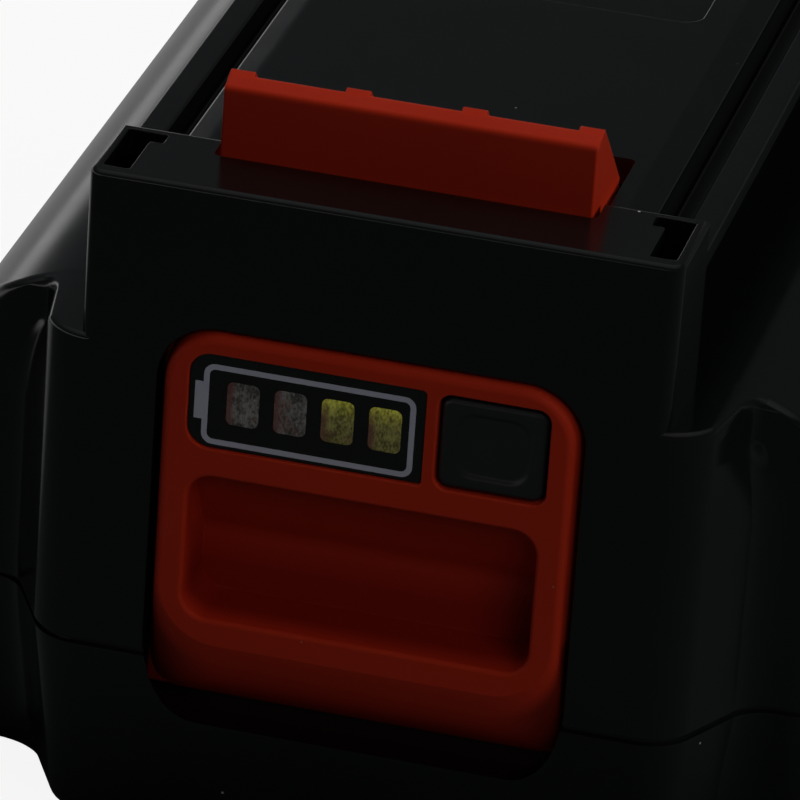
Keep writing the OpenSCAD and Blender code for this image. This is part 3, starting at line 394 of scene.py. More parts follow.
def grown(points, step):
    if step == 0:
        return list(points)
    made = []
    for i, p in enumerate(points):
        before, after = next_apart(points, i, -1), next_apart(points, i, 1)
        a = Vector((p[0] - before[0], p[1] - before[1])).normalized()
        b = Vector((after[0] - p[0], after[1] - p[1])).normalized()
        na, nb = Vector((a.y, -a.x)), Vector((b.y, -b.x))
        shift = (na + nb) / max(1 + na.dot(nb), 0.3)
        made.append((p[0] + step * shift.x, p[1] + step * shift.y))
    return made

def mirrored(half):
    return half + [(-x, z) for x, z in reversed(half)]

def levels_from(base, radius, steps):
    return [base + radius * (1 - math.cos(math.radians(90 * i / steps))) for i in range(steps + 1)]

def levels_to(top, radius, steps):
    return [top - radius * (1 - math.sin(math.radians(90 * i / steps))) for i in range(steps + 1)]

print("a rounded rectangle has", len(round_rect(-2, 2, -1, 1, 0.5, 0.5)), "points")

# %% [markdown]
# ## Solids from outlines
# A loft runs a skin through a stack of outlines, and a prism is a loft whose end rings shrink to a rounded rim. A pit
# is a cutter whose mouth flares, so that its hole has a rounded rim. Depths called v run back from the front face.

# %% Solids
def place_on(axis, at, points):
    if axis == "X":
        return [(at, Y0 + p, q) for p, q in points]
    if axis == "Y":
        return [(p, Y0 + at, q) for p, q in points]
    return [(p, Y0 + q, at) for p, q in points]

def new_mesh(name, verts, faces):
    mesh = bpy.data.meshes.new(name)
    mesh.from_pydata([Vector(v) * MM for v in verts], [], faces)
    bm = bmesh.new()
    bm.from_mesh(mesh)
    bmesh.ops.remove_doubles(bm, verts=bm.verts, dist=2e-7)
    bmesh.ops.dissolve_degenerate(bm, edges=bm.edges, dist=1e-7)
    bmesh.ops.recalc_face_normals(bm, faces=bm.faces)
    bm.to_mesh(mesh)
    bm.free()
    return shown(name, mesh)

def loft(name, rings):
    n, m = len(rings[0]), len(rings)
    verts = [p for ring in rings for p in ring]
    faces = [(j * n + i, j * n + (i + 1) % n, (j + 1) * n + (i + 1) % n, (j + 1) * n + i)
        for j in range(m - 1) for i in range(n)]
    return new_mesh(name, verts, faces + [tuple(range(n))[::-1], tuple(range((m - 1) * n, m * n))])

def quarter(radius, steps=4):
    angles = [math.radians(90 * t / steps) for t in range(steps + 1)]
    return [(radius * (1 - math.cos(a)), radius * (1 - math.sin(a))) for a in angles]

def prism(name, outline, axis, start, end, rim=0.0):
    curve = quarter(rim) if rim else [(0, 0)]
    ends = [(start + along, -inset) for along, inset in curve]
    ends += [(end - along, -inset) for along, inset in reversed(curve)]
    return loft(name, [place_on(axis, at, grown(outline, step)) for at, step in ends])

def pit(name, outline, axis, deep, mouth, lip, beyond=2.0):
    way = 1 if mouth > deep else -1
    stops = [(deep, 0)] + [(mouth - way * short, wide) for wide, short in quarter(lip)]
    stops.append((mouth + way * beyond, lip))
    return loft(name, [place_on(axis, at, grown(outline, step)) for at, step in stops])

def block(name, x0, x1, v0, v1, z0, z1, rim=0.0):
    return prism(name, [(x0, z0), (x1, z0), (x1, z1), (x0, z1)], "Y", v0, v1, rim)

def rod(name, x, v, z0, z1, width, rim=0.0, n=32):
    return prism(name, circle(x, v, width / 2, n), "Z", z0, z1, rim)

print("solids: loft, prism, pit, block, rod")

# %% [markdown]
# ## Joining, smoothing and dressing
# Solids are joined and cut with boolean modifiers, and the result becomes a plain mesh. Faces with many corners are
# split first, because booleans can tear them. Smooth shading stops at sharp edges. At last a piece gets its finish,
# the body that it rides on and the nodes that it stands for.

# %% Joining and dressing
def settle(obj):
    bpy.context.view_layer.update()
    mesh = bpy.data.meshes.new_from_object(obj.evaluated_get(bpy.context.evaluated_depsgraph_get()))
    obj.modifiers.clear()
    old, obj.data = obj.data, mesh
    bpy.data.meshes.remove(old)

def facets(obj):
    bm = bmesh.new()
    bm.from_mesh(obj.data)
    bmesh.ops.triangulate(bm, faces=[f for f in bm.faces if len(f.verts) > 4])
    bm.to_mesh(obj.data)
    bm.free()

def combine(base, kind, others):
    for piece in [base] + others:
        facets(piece)
    for other in others:
        step = base.modifiers.new(kind.lower(), "BOOLEAN")
        step.operation, step.solver, step.object = kind, "MANIFOLD", other
    settle(base)
    for other in others:
        bpy.data.meshes.remove(other.data)
    return base

def smoothed(obj, degrees=32):
    bm = bmesh.new()
    bm.from_mesh(obj.data)
    bmesh.ops.remove_doubles(bm, verts=bm.verts, dist=2e-7)
    bmesh.ops.dissolve_limit(bm, angle_limit=math.radians(0.2), verts=bm.verts, edges=bm.edges)
    bm.to_mesh(obj.data)
    bm.free()
    obj.data.shade_smooth()
    obj.data.set_sharp_from_angle(angle=math.radians(degrees))
    even = obj.modifiers.new("even_normals", "WEIGHTED_NORMAL")
    even.keep_sharp, even.weight = True, 100
    settle(obj)
    return obj

def dress(obj, body, slot, material, *nodes):
    obj.data.materials.clear()
    obj.data.materials.append(material)
    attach(obj, body)
    if nodes:
        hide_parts(*nodes)
    print(obj.name, "on", body, "faces:", len(obj.data.polygons))
    return obj

# %% [markdown]
# ## Sizes of the housing
# Both halves and the latch share these sizes. Heights run up from the base, and half widths from the middle plane.
# Body and nose are drawn as level rings, one for each height. The nose flares back into the body in an S, and
# the body's front corners get tighter towards the top. The latch's skirt is a bowed slope.

# %% Sizes of the housing
HALF_W, BODY_LEN, WALL, FIT = 42.5, 123.8, 2.5, 0.3
PARTING, SHOULDER, SHELF, DECK, ROOF = 19.0, 48.5, 64.0, 63.0, 46.0
SIDE_R, FRONT_R, REAR_R, LEAN = 13.0, 1.5, 6.0, 0.4
FRONT_CORNER, REAR_CORNER, LEAST_CORNER, CORNER_LOSS = 6.0, 12.0, 1.0, 0.7
NOSE_DEPTH, NOSE_HALF, NOSE_R, NOSE_BLEND, FLANK = 10.0, 25.2, 5.0, 4.0, 62.0
NOSE_EDGE, NOSE_TOP_FLARE, ROOM_HALF, ROOM_END = 0.6, 2.7, 22.0, 17.5
TOWER_HALF, TOWER_R, SHELF_LEN, DECK_HALF, RAIL_END = 26.0, 1.2, 10.4, 20.95, 102.4
RAIL_TOP, RAIL_LOW, SLOT_W, SLOT_H = 61.35, 56.8, 2.45, 2.65
TRAVEL, BUTTON_HALF, BUTTON_TOP, BUTTON_LOW = 5.0, 18.2, 50.65, 20.9
TOP_GAP, TOP_R, LOW_R, LOW_BACK_R, SKIRT_FLARE, OPENING_HALF = 0.3, 5.0, 6.0, 2.5, 0.5, 18.9
PLATE_FRONT, PLATE_BACK, PLATE_HALF, BAY_HALF = 2.8, 5.2, 19.8, 20.0
SKIRT_H, SKIRT_BOW = 6.3, 1.4
SPRING_X, SPRING_V, POST_D, PIN_D = 9.5, 8.2, 7.4, 3.4
SCREW_FRONT, SCREW_REAR = (24.0, 8.6), (25.2, 115.2)
SCREWS = [(s * x, v) for x, v in (SCREW_FRONT, SCREW_REAR) for s in (-1, 1)]
TERMINALS = [(i - 2) * 7.0 for i in range(5)]

def drop(radius, height):
    return 0.0 if height <= 0 else radius - math.sqrt(max(radius * radius - height * height, 0))

def skirt_z(v):
    t = (min(max(v, -PROUD), PLATE_FRONT) + PROUD) / (PLATE_FRONT + PROUD)
    return BUTTON_LOW - SKIRT_H * t * (SKIRT_BOW - (SKIRT_BOW - 1) * t)

def set_back(v):
    return min(max(v, 0) / PLATE_FRONT, 1)

def low_corner(v):
    return LOW_R + (LOW_BACK_R - LOW_R) * set_back(v)

def body_ring(z, side, front, rear, n=12, corner=FRONT_CORNER):
    w, f, b = HALF_W - side, NOSE_DEPTH + front, BODY_LEN - rear
    rf, rb = max(corner - front, LEAST_CORNER), max(REAR_CORNER - rear, LEAST_CORNER)
    return place_on("Z", z, mirrored(arc((w - rf, f + rf), rf, -90, 0, n) + arc((w - rb, b - rb), rb, 0, 90, n)))

def nose_ring(z, inset, x_max, blend=None, n=14):
    blend = inset if blend is None else blend
    a = math.radians(FLANK)
    normal, along = Vector((math.sin(a), -math.cos(a))), Vector((math.cos(a), math.sin(a)))
    c1 = Vector((NOSE_HALF, NOSE_R))
    p1 = c1 + NOSE_R * normal
    run = (NOSE_DEPTH - NOSE_BLEND - NOSE_BLEND * normal.y - p1.y) / along.y
    c2 = p1 + along * run + NOSE_BLEND * normal
    side = arc(c1, NOSE_R - inset, -90, FLANK - 90, n) + arc(c2, NOSE_BLEND + blend, FLANK + 90, 90, n)
    side.append((c2.x, NOSE_DEPTH + 15))
    k = min(max(x_max - p1.x, NOSE_TOP_FLARE) / (c2.x - p1.x), 1.0)
    side = [(p1.x + k * (x - p1.x) if x > p1.x else x, v) for x, v in side]
    return place_on("Z", z, mirrored(side))

print("skirt falls from", BUTTON_LOW, "to", round(skirt_z(PLATE_FRONT), 2), "mm")

# %% [markdown]
# ## The upper housing
# The black upper half is a rounded body, a narrower nose, and on top a tower with a shelf, whose rails and deck run
# back. One sculpted mesh could hold it all, but lofts and prisms keep every size exact. They are joined at the end.

# %% Upper body, nose, tower and rails
LINE_R, SINK = 0.15, 0.02

def side_in(z):
    climb = min((z - PARTING) / (SHOULDER - SIDE_R - PARTING), 1)
    return LEAN * climb + drop(SIDE_R, z - SHOULDER + SIDE_R)

def line_in(z):
    return drop(LINE_R, PARTING + LINE_R - z)

def body_level(z):
    front, rear = drop(FRONT_R, z - SHOULDER + FRONT_R), drop(REAR_R, z - SHOULDER + REAR_R)
    return body_ring(z, side_in(z) + line_in(z), front + line_in(z), rear + line_in(z),
        corner=FRONT_CORNER - CORNER_LOSS * side_in(z))

arc_z = levels_to(SHOULDER, SIDE_R, 24)
low_z = levels_from(PARTING, LINE_R, 3)
upper = loft("upper_housing_skin", [body_level(z) for z in low_z + arc_z])
top = SHOULDER - SINK
nose = loft("nose", [nose_ring(z, drop(NOSE_EDGE, z - top + NOSE_EDGE) + line_in(z),
    HALF_W - side_in(z) - FRONT_CORNER, drop(FRONT_R, z - top + FRONT_R) + line_in(z))
    for z in low_z + arc_z[:-5] + levels_to(top, NOSE_EDGE, 6)])
half = [(HALF_W - side_in(z) - SINK, z - SINK) for z in [PARTING] + arc_z]
section = [(-HALF_W, 0), (HALF_W, 0)] + mirrored(half)
combine(nose, "INTERSECT", [prism("shoulder_section", section, "Y", -1, 34)])
plan = mirrored(arc((TOWER_HALF - TOWER_R, TOWER_R + SINK), TOWER_R, -90, 0, 6) + [(TOWER_HALF, SHELF_LEN)])
tower = prism("tower", plan, "Z", SHOULDER - 8, SHELF, 0.55)
slot_x, step_z = DECK_HALF + SLOT_W, RAIL_TOP - 2.1
half = [(DECK_HALF, SHOULDER - 4), (DECK_HALF, RAIL_LOW), (TOWER_HALF - 1, RAIL_LOW), (TOWER_HALF - 1, step_z),
    (TOWER_HALF, step_z), (TOWER_HALF, RAIL_TOP), (slot_x, RAIL_TOP), (slot_x, RAIL_TOP - SLOT_H),
    (DECK_HALF, RAIL_TOP - SLOT_H), (DECK_HALF, DECK - 0.6), (DECK_HALF - 2.3, DECK)]
rails = prism("rails", eased(mirrored(half), 0.35), "Y", SHELF_LEN - 2, RAIL_END, 0.18)
starts = [block("slot_start", x0, x1, SHELF_LEN - 1, SHELF_LEN + 3.2, RAIL_TOP - SLOT_H - 1, RAIL_TOP - SINK, 0.2)
    for x0, x1 in ((-slot_x - 1, 1 - DECK_HALF), (DECK_HALF - 1, slot_x + 1))]
combine(upper, "UNION", [nose, tower, rails] + starts)
print("upper skin faces:", len(upper.data.polygons))

# %% [markdown]
# ### Hollow of the upper half
# The half is a shell. Thickening a skin would thicken its rims and rails too, so a smaller body and three rooms are cut
# out of the solid instead. Screw posts and the ribs that hold the gauge board are put back in.

# %% Hollow of the upper half
inner_r = SIDE_R - WALL
hollow = loft("hollow", [body_ring(z, WALL + LEAN + drop(inner_r, z - ROOF + inner_r), WALL, WALL, 6)
    for z in [PARTING - 2] + levels_to(ROOF, inner_r, 8)])
rooms = [block("nose_room", -ROOM_HALF, ROOM_HALF, WALL, ROOM_END, PARTING - 2, ROOF - 1.2),
    block("latch_bay", -BAY_HALF, BAY_HALF, WALL, SHELF_LEN - 1, ROOF - 4, SHELF - WALL),
    block("rail_bay", -18.45, 18.45, WALL + 4, RAIL_END - WALL, ROOF - 4, DECK - WALL)]
combine(upper, "DIFFERENCE", [hollow] + rooms)
posts = [rod("screw_post", x, v, PARTING, ROOF + 0.5, POST_D) for x, v in SCREWS]
ribs = [block("gauge_rib", min(s * a, s * 24), max(s * a, s * 24), v0, v1, 40.0, 52.0)
    for s in (-1, 1) for a, v0, v1 in ((17.6, 5.5, 7.9), (17.5, 9.3, 10.8))]
combine(upper, "UNION", posts + ribs)
print("posts:", len(posts), "ribs:", len(ribs))

# %% [markdown]
# ### Openings of the upper half
# The latch looks out through a rounded opening in the front wall, and its tongue comes up through a slot behind the
# shelf. The opening follows the skirt and leaves room for its way down. L-shaped pockets sit in both corners of the
# shelf, and five slots at the rear lead the tool's blades to the contacts.

# %% Openings
def opening(front=-3.0, back=5.8, lip=0.2):
    def ring(v, flare):
        low = skirt_z(max(v, 0)) - TRAVEL - FIT - flare
        half = OPENING_HALF + flare
        return place_on("Y", v, round_rect(-half, half, low, BUTTON_TOP + TOP_GAP + flare, low_corner(v) + flare,
            TOP_R + TOP_GAP + flare, 10))
    stops = [(front, lip)] + quarter(lip) + [(v, 0) for v in (0.4, 0.7, 1.0, 1.4, 1.9, 2.4, PLATE_FRONT, back)]
    return loft("latch_opening", [ring(v, flare) for v, flare in stops])

def terminal_slot(x, half=1.3, flare=0.3, floor_z=51.0):
    mouth = arc((half + flare, DECK - flare), flare, 180, 90, 4)
    outline = mirrored([(half, floor_z)] + mouth + [(half + flare, DECK + 2)])
    return prism("terminal_slot", [(x + a, b) for a, b in outline], "Y", RAIL_END - 23, RAIL_END + 2)

corner = [(21.55, 7.55), (22.75, 7.55), (22.75, 1.45), (25.05, 1.45), (25.05, 9.45), (21.55, 9.45)]
pockets = [pit("corner_pocket", eased([(s * x, v) for x, v in corner][::s], 0.3, 3), "Z", SHELF - 8, SHELF, 0.15)
    for s in (1, -1)]
recess_plan = round_rect(-15.5, 15.5, RAIL_END - 49, RAIL_END - 26, 2, 2)
recess = pit("deck_recess", recess_plan, "Z", DECK - 0.6, DECK, 0.2)
tongue_plan = eased([(-16.9, 6.9), (16.9, 6.9), (16.9, 22.2), (-16.9, 22.2)], 0.7)
tongue_slot = prism("tongue_slot", tongue_plan, "Z", SHOULDER, SHELF + 2)
slots = [terminal_slot(x) for x in TERMINALS]
bores = [rod("screw_bore", x, v, PARTING - 1, 28, 3.1, n=20) for x, v in SCREWS]
combine(upper, "DIFFERENCE", [opening(), tongue_slot, recess] + pockets + slots + bores)
upper.name = "upper_half"
dress(smoothed(upper), "housing", "housing_plastic", HOUSING, "upper_housing")

# %% [markdown]
# ## The lower housing
# The lower half is a shallow tray of the same rings, so the two meet without a step. Its walls lean in towards the
# base, its foot is rounded, and a thin groove under the parting line makes the dark line that runs round the pack.

# %% Lower half
GROOVE, FOOT_R, TAPER, LINE_EDGE, LINE_H, APRON = 0.5, 2.0, 2.4, 0.04, 0.6, 5.0
RIB_X, CELL_START, CELL_PITCH = (33.45, 39.1), 23.75, 19.3

def lower_in(z):
    top_edge = drop(LINE_EDGE, z - (PARTING - LINE_H) + LINE_EDGE) if z < PARTING - LINE_H + 0.01 else 0
    return TAPER * (PARTING - z) / PARTING + drop(FOOT_R, FOOT_R - z) + top_edge

levels = [(z, lower_in(z)) for z in levels_from(0, FOOT_R, 8) + levels_to(PARTING - LINE_H, LINE_EDGE, 2)]
levels += [(z, GROOVE) for z in (PARTING - LINE_H + SINK, PARTING)]
lower = loft("lower_half", [body_ring(z, d, d, d) for z, d in levels])
combine(lower, "UNION", [loft("lower_nose", [nose_ring(z, d, HALF_W - d - max(FRONT_CORNER - d, LEAST_CORNER))
    for z, d in levels])])
well = PLATE_HALF + FIT
plate_low = skirt_z(PLATE_FRONT)
tray_levels = ((WALL, lower_in(WALL) + WALL), (PARTING + 1, WALL))
tray = loft("tray", [body_ring(z, d, d, d, 6) for z, d in tray_levels])
rooms = [block("nose_room", -ROOM_HALF, ROOM_HALF, lower_in(WALL) + WALL, ROOM_END, WALL, PARTING + 1),
    block("cell_room", -RIB_X[0], RIB_X[0], 13.2, 18.5, WALL, PARTING + 1),
    block("plate_well", -well, well, WALL, PLATE_BACK + 2, plate_low - TRAVEL - FIT, PARTING + 1),
    block("apron_well", -well, well, PLATE_BACK - 1.5, PLATE_BACK + 2, plate_low - APRON - TRAVEL - FIT,
    PARTING + 1)]
combine(lower, "DIFFERENCE", [tray] + rooms)
posts = [rod("screw_post", x, v, 0.5, PARTING - FIT, POST_D) for x, v in SCREWS]
pins = [rod("spring_pin", x, SPRING_V, WALL - SINK, WALL + 3, PIN_D, 0.4) for x in (-SPRING_X, SPRING_X)]
ribs = [block("block_rib", x0, x1, v - 1, v + 1, WALL - SINK, PARTING - 1)
    for x0, x1 in ((-RIB_X[1], -RIB_X[0]), RIB_X) for v in [CELL_START + CELL_PITCH * c for c in (0, 2, 4)]]
combine(lower, "UNION", posts + pins + ribs)
sinks = [pit("screw_sink", circle(x, v, 2.7), "Z", 8.0, 0.0, 0.35) for x, v in SCREWS]
holes = [rod("screw_hole", x, v, -1, PARTING + 1, 3.3, n=20) for x, v in SCREWS]
combine(lower, "DIFFERENCE", [opening()] + sinks + holes)
dress(smoothed(lower), "housing", "housing_plastic", HOUSING, "lower_housing")

# %% [markdown]
# ## Trees for what repeats
# The tongue's ribs, the gauge windows and the screws each repeat one shape. Copies could be made in a loop, but a small
# node tree shows its rule: a line of points, one instance on each, made real and given its finish.

# %% Tree for a row of pieces
def new_tree(name, **kinds):
    tree = bpy.data.node_groups.new(name, "GeometryNodeTree")
    tree.interface.new_socket("Geometry", in_out="OUTPUT", socket_type="NodeSocketGeometry")
    ids = {label: tree.interface.new_socket(label, in_out="INPUT", socket_type="NodeSocket" + kind).identifier
        for label, kind in kinds.items()}
    return tree, ids, tree.nodes.new("NodeGroupInput").outputs

def feed(tree, kind, inputs):
    node = tree.nodes.new(kind)
    for label, value in inputs.items():
        put(tree, node.inputs[label], value)
    return node.outputs

def close_tree(tree, shape, finish):
    real = feed(tree, "GeometryNodeRealizeInstances", {"Geometry": shape})
    coat = feed(tree, "GeometryNodeSetMaterial", {"Geometry": real["Geometry"], "Material": finish})
    tree.links.new(coat["Geometry"], tree.nodes.new("NodeGroupOutput").inputs[0])

def grow(name, tree, ids, **values):
    obj = shown(name, bpy.data.meshes.new(name))
    work = obj.modifiers.new("tree", "NODES")
    work.node_group = tree
    for label, value in values.items():
        work[ids[label]] = value
    settle(obj)
    return obj

row, row_ids, given = new_tree("row_of_pieces", Piece="Object", Count="Int", Start="Vector", Step="Vector",
    Finish="Material")
line = feed(row, "GeometryNodeMeshLine", {"Count": given["Count"], "Start Location": given["Start"],
    "Offset": given["Step"]})
piece = feed(row, "GeometryNodeObjectInfo", {"Object": given["Piece"]})
copies = feed(row, "GeometryNodeInstanceOnPoints", {"Points": line["Mesh"], "Instance": piece["Geometry"]})
close_tree(row, copies["Instances"], given["Finish"])

def row_of(name, piece, count, start, step, material):
    obj = grow(name, row, row_ids, Piece=piece, Count=count, Start=Vector(start) * MM, Step=Vector(step) * MM,
        Finish=material)
    bpy.data.meshes.remove(piece.data)
    return obj

print("row inputs:", list(row_ids))

# %% [markdown]
# ## The latch
# One red-orange moulding: a button face and a skirt in front, a plate that slides behind the housing wall, and a tongue
# that stands up through the shelf. The face is a loft whose rings follow the skirt back and flare a little, and
# the other parts are prisms joined to it. All its outer edges are softly rounded.

# %% Button face, plate and tongue
EDGE_R = 0.8
RECESS_TOP, RECESS_LOW, RECESS_HALF, RECESS_BEND = 37.3, 23.3, 15.65, 29.6
RECESS_DEEP, RECESS_SHALLOW, SHELL = 5.8, 0.8, 1.6
TONGUE_HALF, TONGUE_V, TONGUE_END, BRIDGE, PLATE_TOP, RIB_HALF = 16.45, 7.4, 18.4, 56.6, 60.5, 1.1
TOP_V, TOP_Z = TONGUE_V + 1.9, SHELF + 6.86

def face_ring(v, inset):
    half = BUTTON_HALF + SKIRT_FLARE * set_back(v) - inset
    return place_on("Y", v, round_rect(-half, half, skirt_z(v) + inset * 0.2, BUTTON_TOP - inset,
        low_corner(v) - inset, TOP_R - inset, 10))

rounding = [(along - PROUD, inset) for along, inset in quarter(EDGE_R, 6)]
behind = [(v, 0) for v in (0.6, 1.0, 1.4, 1.8, 2.3, PLATE_FRONT + SINK)]
latch = loft("latch_moulding", [face_ring(v, inset) for v, inset in rounding + behind])
plate = block("latch_plate", -PLATE_HALF, PLATE_HALF, PLATE_FRONT, PLATE_BACK, plate_low, PLATE_TOP, 0.3)
apron = block("latch_apron", -PLATE_HALF, PLATE_HALF, PLATE_BACK - 1.2, PLATE_BACK, plate_low - APRON,
    plate_low + 1, 0.2)
seat = block("spring_seat", -16, 16, 0.5, 11.4, BUTTON_LOW, RECESS_LOW, 0.3)
pins = [rod("spring_pin", x, SPRING_V, BUTTON_LOW - 3, BUTTON_LOW + 1, PIN_D, 0.4) for x in (-SPRING_X, SPRING_X)]
bridge = prism("bridge", [(PLATE_FRONT, BRIDGE), (TONGUE_V + 2, BRIDGE), (TONGUE_V + 2, PLATE_TOP),
    (PLATE_FRONT, PLATE_TOP)], "X", -TONGUE_HALF, TONGUE_HALF)
side_view = [(TONGUE_V, BRIDGE), (TONGUE_END + 5, BRIDGE), (TONGUE_END + 5, BRIDGE + 1.5),
    (TONGUE_END, BRIDGE + 1.5), (TONGUE_END, DECK - 1), (TOP_V, TOP_Z), (TONGUE_V, SHELF + 6.2)]
tongue = prism("tongue", eased(side_view, 0.5, 5), "X", -TONGUE_HALF, TONGUE_HALF, 0.3)
shell_view = [(0, RECESS_LOW - 0.7), (RECESS_DEEP + SHELL, RECESS_LOW - 0.7), (RECESS_DEEP + SHELL, RECESS_BEND),
    (RECESS_SHALLOW + SHELL, RECESS_TOP + SHELL), (0, RECESS_TOP + SHELL)]
shell = prism("recess_shell", shell_view, "X", -RECESS_HALF - SHELL, RECESS_HALF + SHELL)
rib_view = [(TOP_V - 0.8, TOP_Z - 1), (17.2, DECK - 0.8), (17.7, DECK + 0.2), (TOP_V + 0.5, TOP_Z + 0.15),
    (TOP_V - 0.8, TOP_Z - 0.32)]
rib = prism("rib", eased(rib_view, 0.2, 3), "X", -RIB_HALF, RIB_HALF, 0.1)
ribs = row_of("tongue_ribs", rib, 4, (RIB_HALF - TONGUE_HALF, 0, 0), ((2 * TONGUE_HALF - 2 * RIB_HALF) / 3, 0, 0),
    LATCH)
combine(latch, "UNION", [plate, apron, seat, bridge, tongue, shell, ribs] + pins)
print("latch faces before cuts:", len(latch.data.polygons))

# %% [markdown]
# ### Cuts in the latch
# The thumb recess has a sloped back and rounded walls, so its cutter is where a side profile and a rounded well
# overlap. The label lies in a shallow well, and the charge button and the light guide have rooms of their own.

# %% Thumb recess and gauge openings
LABEL = (-15.95, 5.0, 39.9, 48.9)
PRESS = (6.1, 15.95)
LAMP_X, LAMP_PITCH, LAMP_Z, LAMP_W, LAMP_H = -4.825, 4.2, 44.4, 2.9, 4.1
THROUGH = PLATE_BACK + 1
lamp_x = [LAMP_X + (i - 1.5) * LAMP_PITCH for i in range(4)]
back_view = [(-4, RECESS_LOW - 4), (RECESS_DEEP, RECESS_LOW - 4), (RECESS_DEEP, RECESS_BEND),
    (RECESS_SHALLOW, RECESS_TOP), (RECESS_SHALLOW - 0.6, RECESS_TOP + 4), (-4, RECESS_TOP + 4)]
back = prism("recess_back", eased(back_view, 0.8, 6), "X", -30, 30)
walls = pit("recess_walls", round_rect(0.15 - RECESS_HALF, RECESS_HALF - 0.15, RECESS_LOW + 0.15,
    RECESS_TOP - 0.15, 2.2, 2.2, 8), "Y", 9.0, -PROUD, 0.45)
combine(back, "INTERSECT", [walls])

def label_outline(inset):
    x0, x1, z0, z1 = LABEL[0] + inset, LABEL[1] - inset, LABEL[2] + inset, LABEL[3] - inset
    return (arc((x1 - 0.4, z0 + 0.4), 0.4, -90, 0, 4) + arc((x1 - 0.4, z1 - 0.4), 0.4, 0, 90, 4)
        + arc((x0 + 2, z1 - 2), 2, 90, 180, 8) + arc((x0 + 2, z0 + 2), 2, 180, 270, 8))

def press_outline(inset, radius):
    return round_rect(PRESS[0] + inset, PRESS[1] - inset, LABEL[2] + inset, LABEL[3] - inset, radius, radius)

def press_block(name, margin, v0, v1, rim=0.0):
    return block(name, PRESS[0] - margin, PRESS[1] + margin, v0, v1, LABEL[2] - margin, LABEL[3] + margin, rim)

def lamp_block(name, x, half_w, half_h, v0, v1, rim=0.0):
    return block(name, x - half_w, x + half_w, v0, v1, LAMP_Z - half_h, LAMP_Z + half_h, rim)

label_well = pit("label_well", label_outline(0), "Y", 0.05, -PROUD, 0.15)
press_well = pit("press_well", press_outline(0, 1.2), "Y", THROUGH, -PROUD, 0.2)
press_room = press_block("press_room", 0.8, PLATE_FRONT - 1.2, THROUGH)
guide_room = lamp_block("guide_room", LAMP_X, 8.65, 2.95, PLATE_FRONT - 0.1, THROUGH)
lamp_holes = [lamp_block("lamp_hole", x, 1.55, 2.15, -PROUD, THROUGH) for x in lamp_x]
combine(latch, "DIFFERENCE", [back, label_well, press_well, press_room, guide_room] + lamp_holes)
dress(smoothed(latch), "latch", "latch_plastic", LATCH, "latch")

# %% [markdown]
# ## Finishes of the gauge
# The label is a dark film with pale ink. The windows look brushed, because the clear plastic behind them is finely
# scratched; a stretched and turned noise gives that. They are rosy at the left, where the red plastic shines
# through, and two of them glow faintly at the top.

# %% Finishes of the gauge
def dull_plastic(name, low, high, rough, spread=0.12, cloud=120, fine=500, bump=0.3, depth_mm=0.015):
    mat, tree, skin, place = finish_of(name)
    surface(tree, skin, mixed(tree, noise(tree, place, cloud, 3), low, high),
        remap(tree, noise(tree, place, fine, 2), 0.3, 0.7, rough, rough + spread))
    bumped(tree, skin, noise(tree, place, 2200, 2), bump, depth_mm)
    return mat

def film(name, low, high, rough):
    return dull_plastic(name, low, high, rough, 0.1, 300, 900, 0.15, 0.008)

def window_finish(name, low, high, glow):
    mat, tree, skin, place = finish_of(name, 0.5)
    grain = noise(tree, stretch(tree, place, (6200, 6200, 3400), (0, math.radians(-24), 0)), 1.0, 4)
    cloud = times(tree, noise(tree, place, 900, 2), 0.7)
    colour = mixed(tree, remap(tree, maths(tree, "ADD", grain, cloud), 0.68, 1.02, 0.0, 1.0), low, high)
    x, _, z = parts_of(tree, place)
    from_left = maths(tree, "SUBTRACT", x, (LAMP_X - 2 * LAMP_PITCH) * MM)
    within = maths(tree, "MODULO", from_left, LAMP_PITCH * MM)
    edge = (LAMP_PITCH - LAMP_W) / 2 * MM
    rosy = remap(tree, within, edge + 0.35 * MM, edge + 0.85 * MM, 0.8, 0.0)
    patchy = remap(tree, noise(tree, place, 700, 2), 0.52, 0.66, 0.0, 0.4)
    colour = mixed(tree, larger(tree, rosy, patchy), colour, (0.2, 0.07, 0.06))
    if glow:
        upper_part = remap(tree, z, (LAMP_Z + 0.2) * MM, (LAMP_Z + 1.9) * MM, 0.0, 1.0)
        bright = times(tree, upper_part, remap(tree, grain, 0.35, 0.6, 0.3, 1.0))
        colour = mixed(tree, times(tree, bright, 0.7), colour, (0.8, 0.82, 0.08))
        tree.links.new(colour, skin.inputs["Emission Color"])
        strength = maths(tree, "ADD", times(tree, bright, glow), 0.015)
        tree.links.new(strength, skin.inputs["Emission Strength"])
    tree.links.new(colour, skin.inputs["Base Color"])
    bumped(tree, skin, grain, 0.4, 0.02)
    return mat

FILM = film("label_film", (0.0045, 0.005, 0.0045), (0.007, 0.0075, 0.007), 0.2)
INK = film("outline_ink", (0.50, 0.50, 0.60), (0.62, 0.62, 0.74), 0.4)
CLEAR = film("clear_guide", (0.5, 0.5, 0.42), (0.58, 0.58, 0.5), 0.3)
WINDOW_OFF = window_finish("window_dark", (0.06, 0.055, 0.05), (0.36, 0.34, 0.32), 0)
WINDOW_ON = window_finish("window_lit", (0.12, 0.10, 0.03), (0.46, 0.43, 0.13), 0.09)
print("finishes:", [m.name for m in (FILM, INK, CLEAR, WINDOW_OFF, WINDOW_ON)])

# %% [markdown]
# ## The charge gauge
# A black film lies in a shallow well of the button face. It carries a plain battery outline round four small windows.
# The outline is a thin raised band, so it stays crisp close up. Behind the windows, a clear guide carries the light.

# %% Label, outline and windows
LABEL_FRONT, INK_T, LINE_W = -0.25, 0.03, 0.5
label = prism("gauge_film", label_outline(0.06), "Y", LABEL_FRONT, 0.05, 0.04)

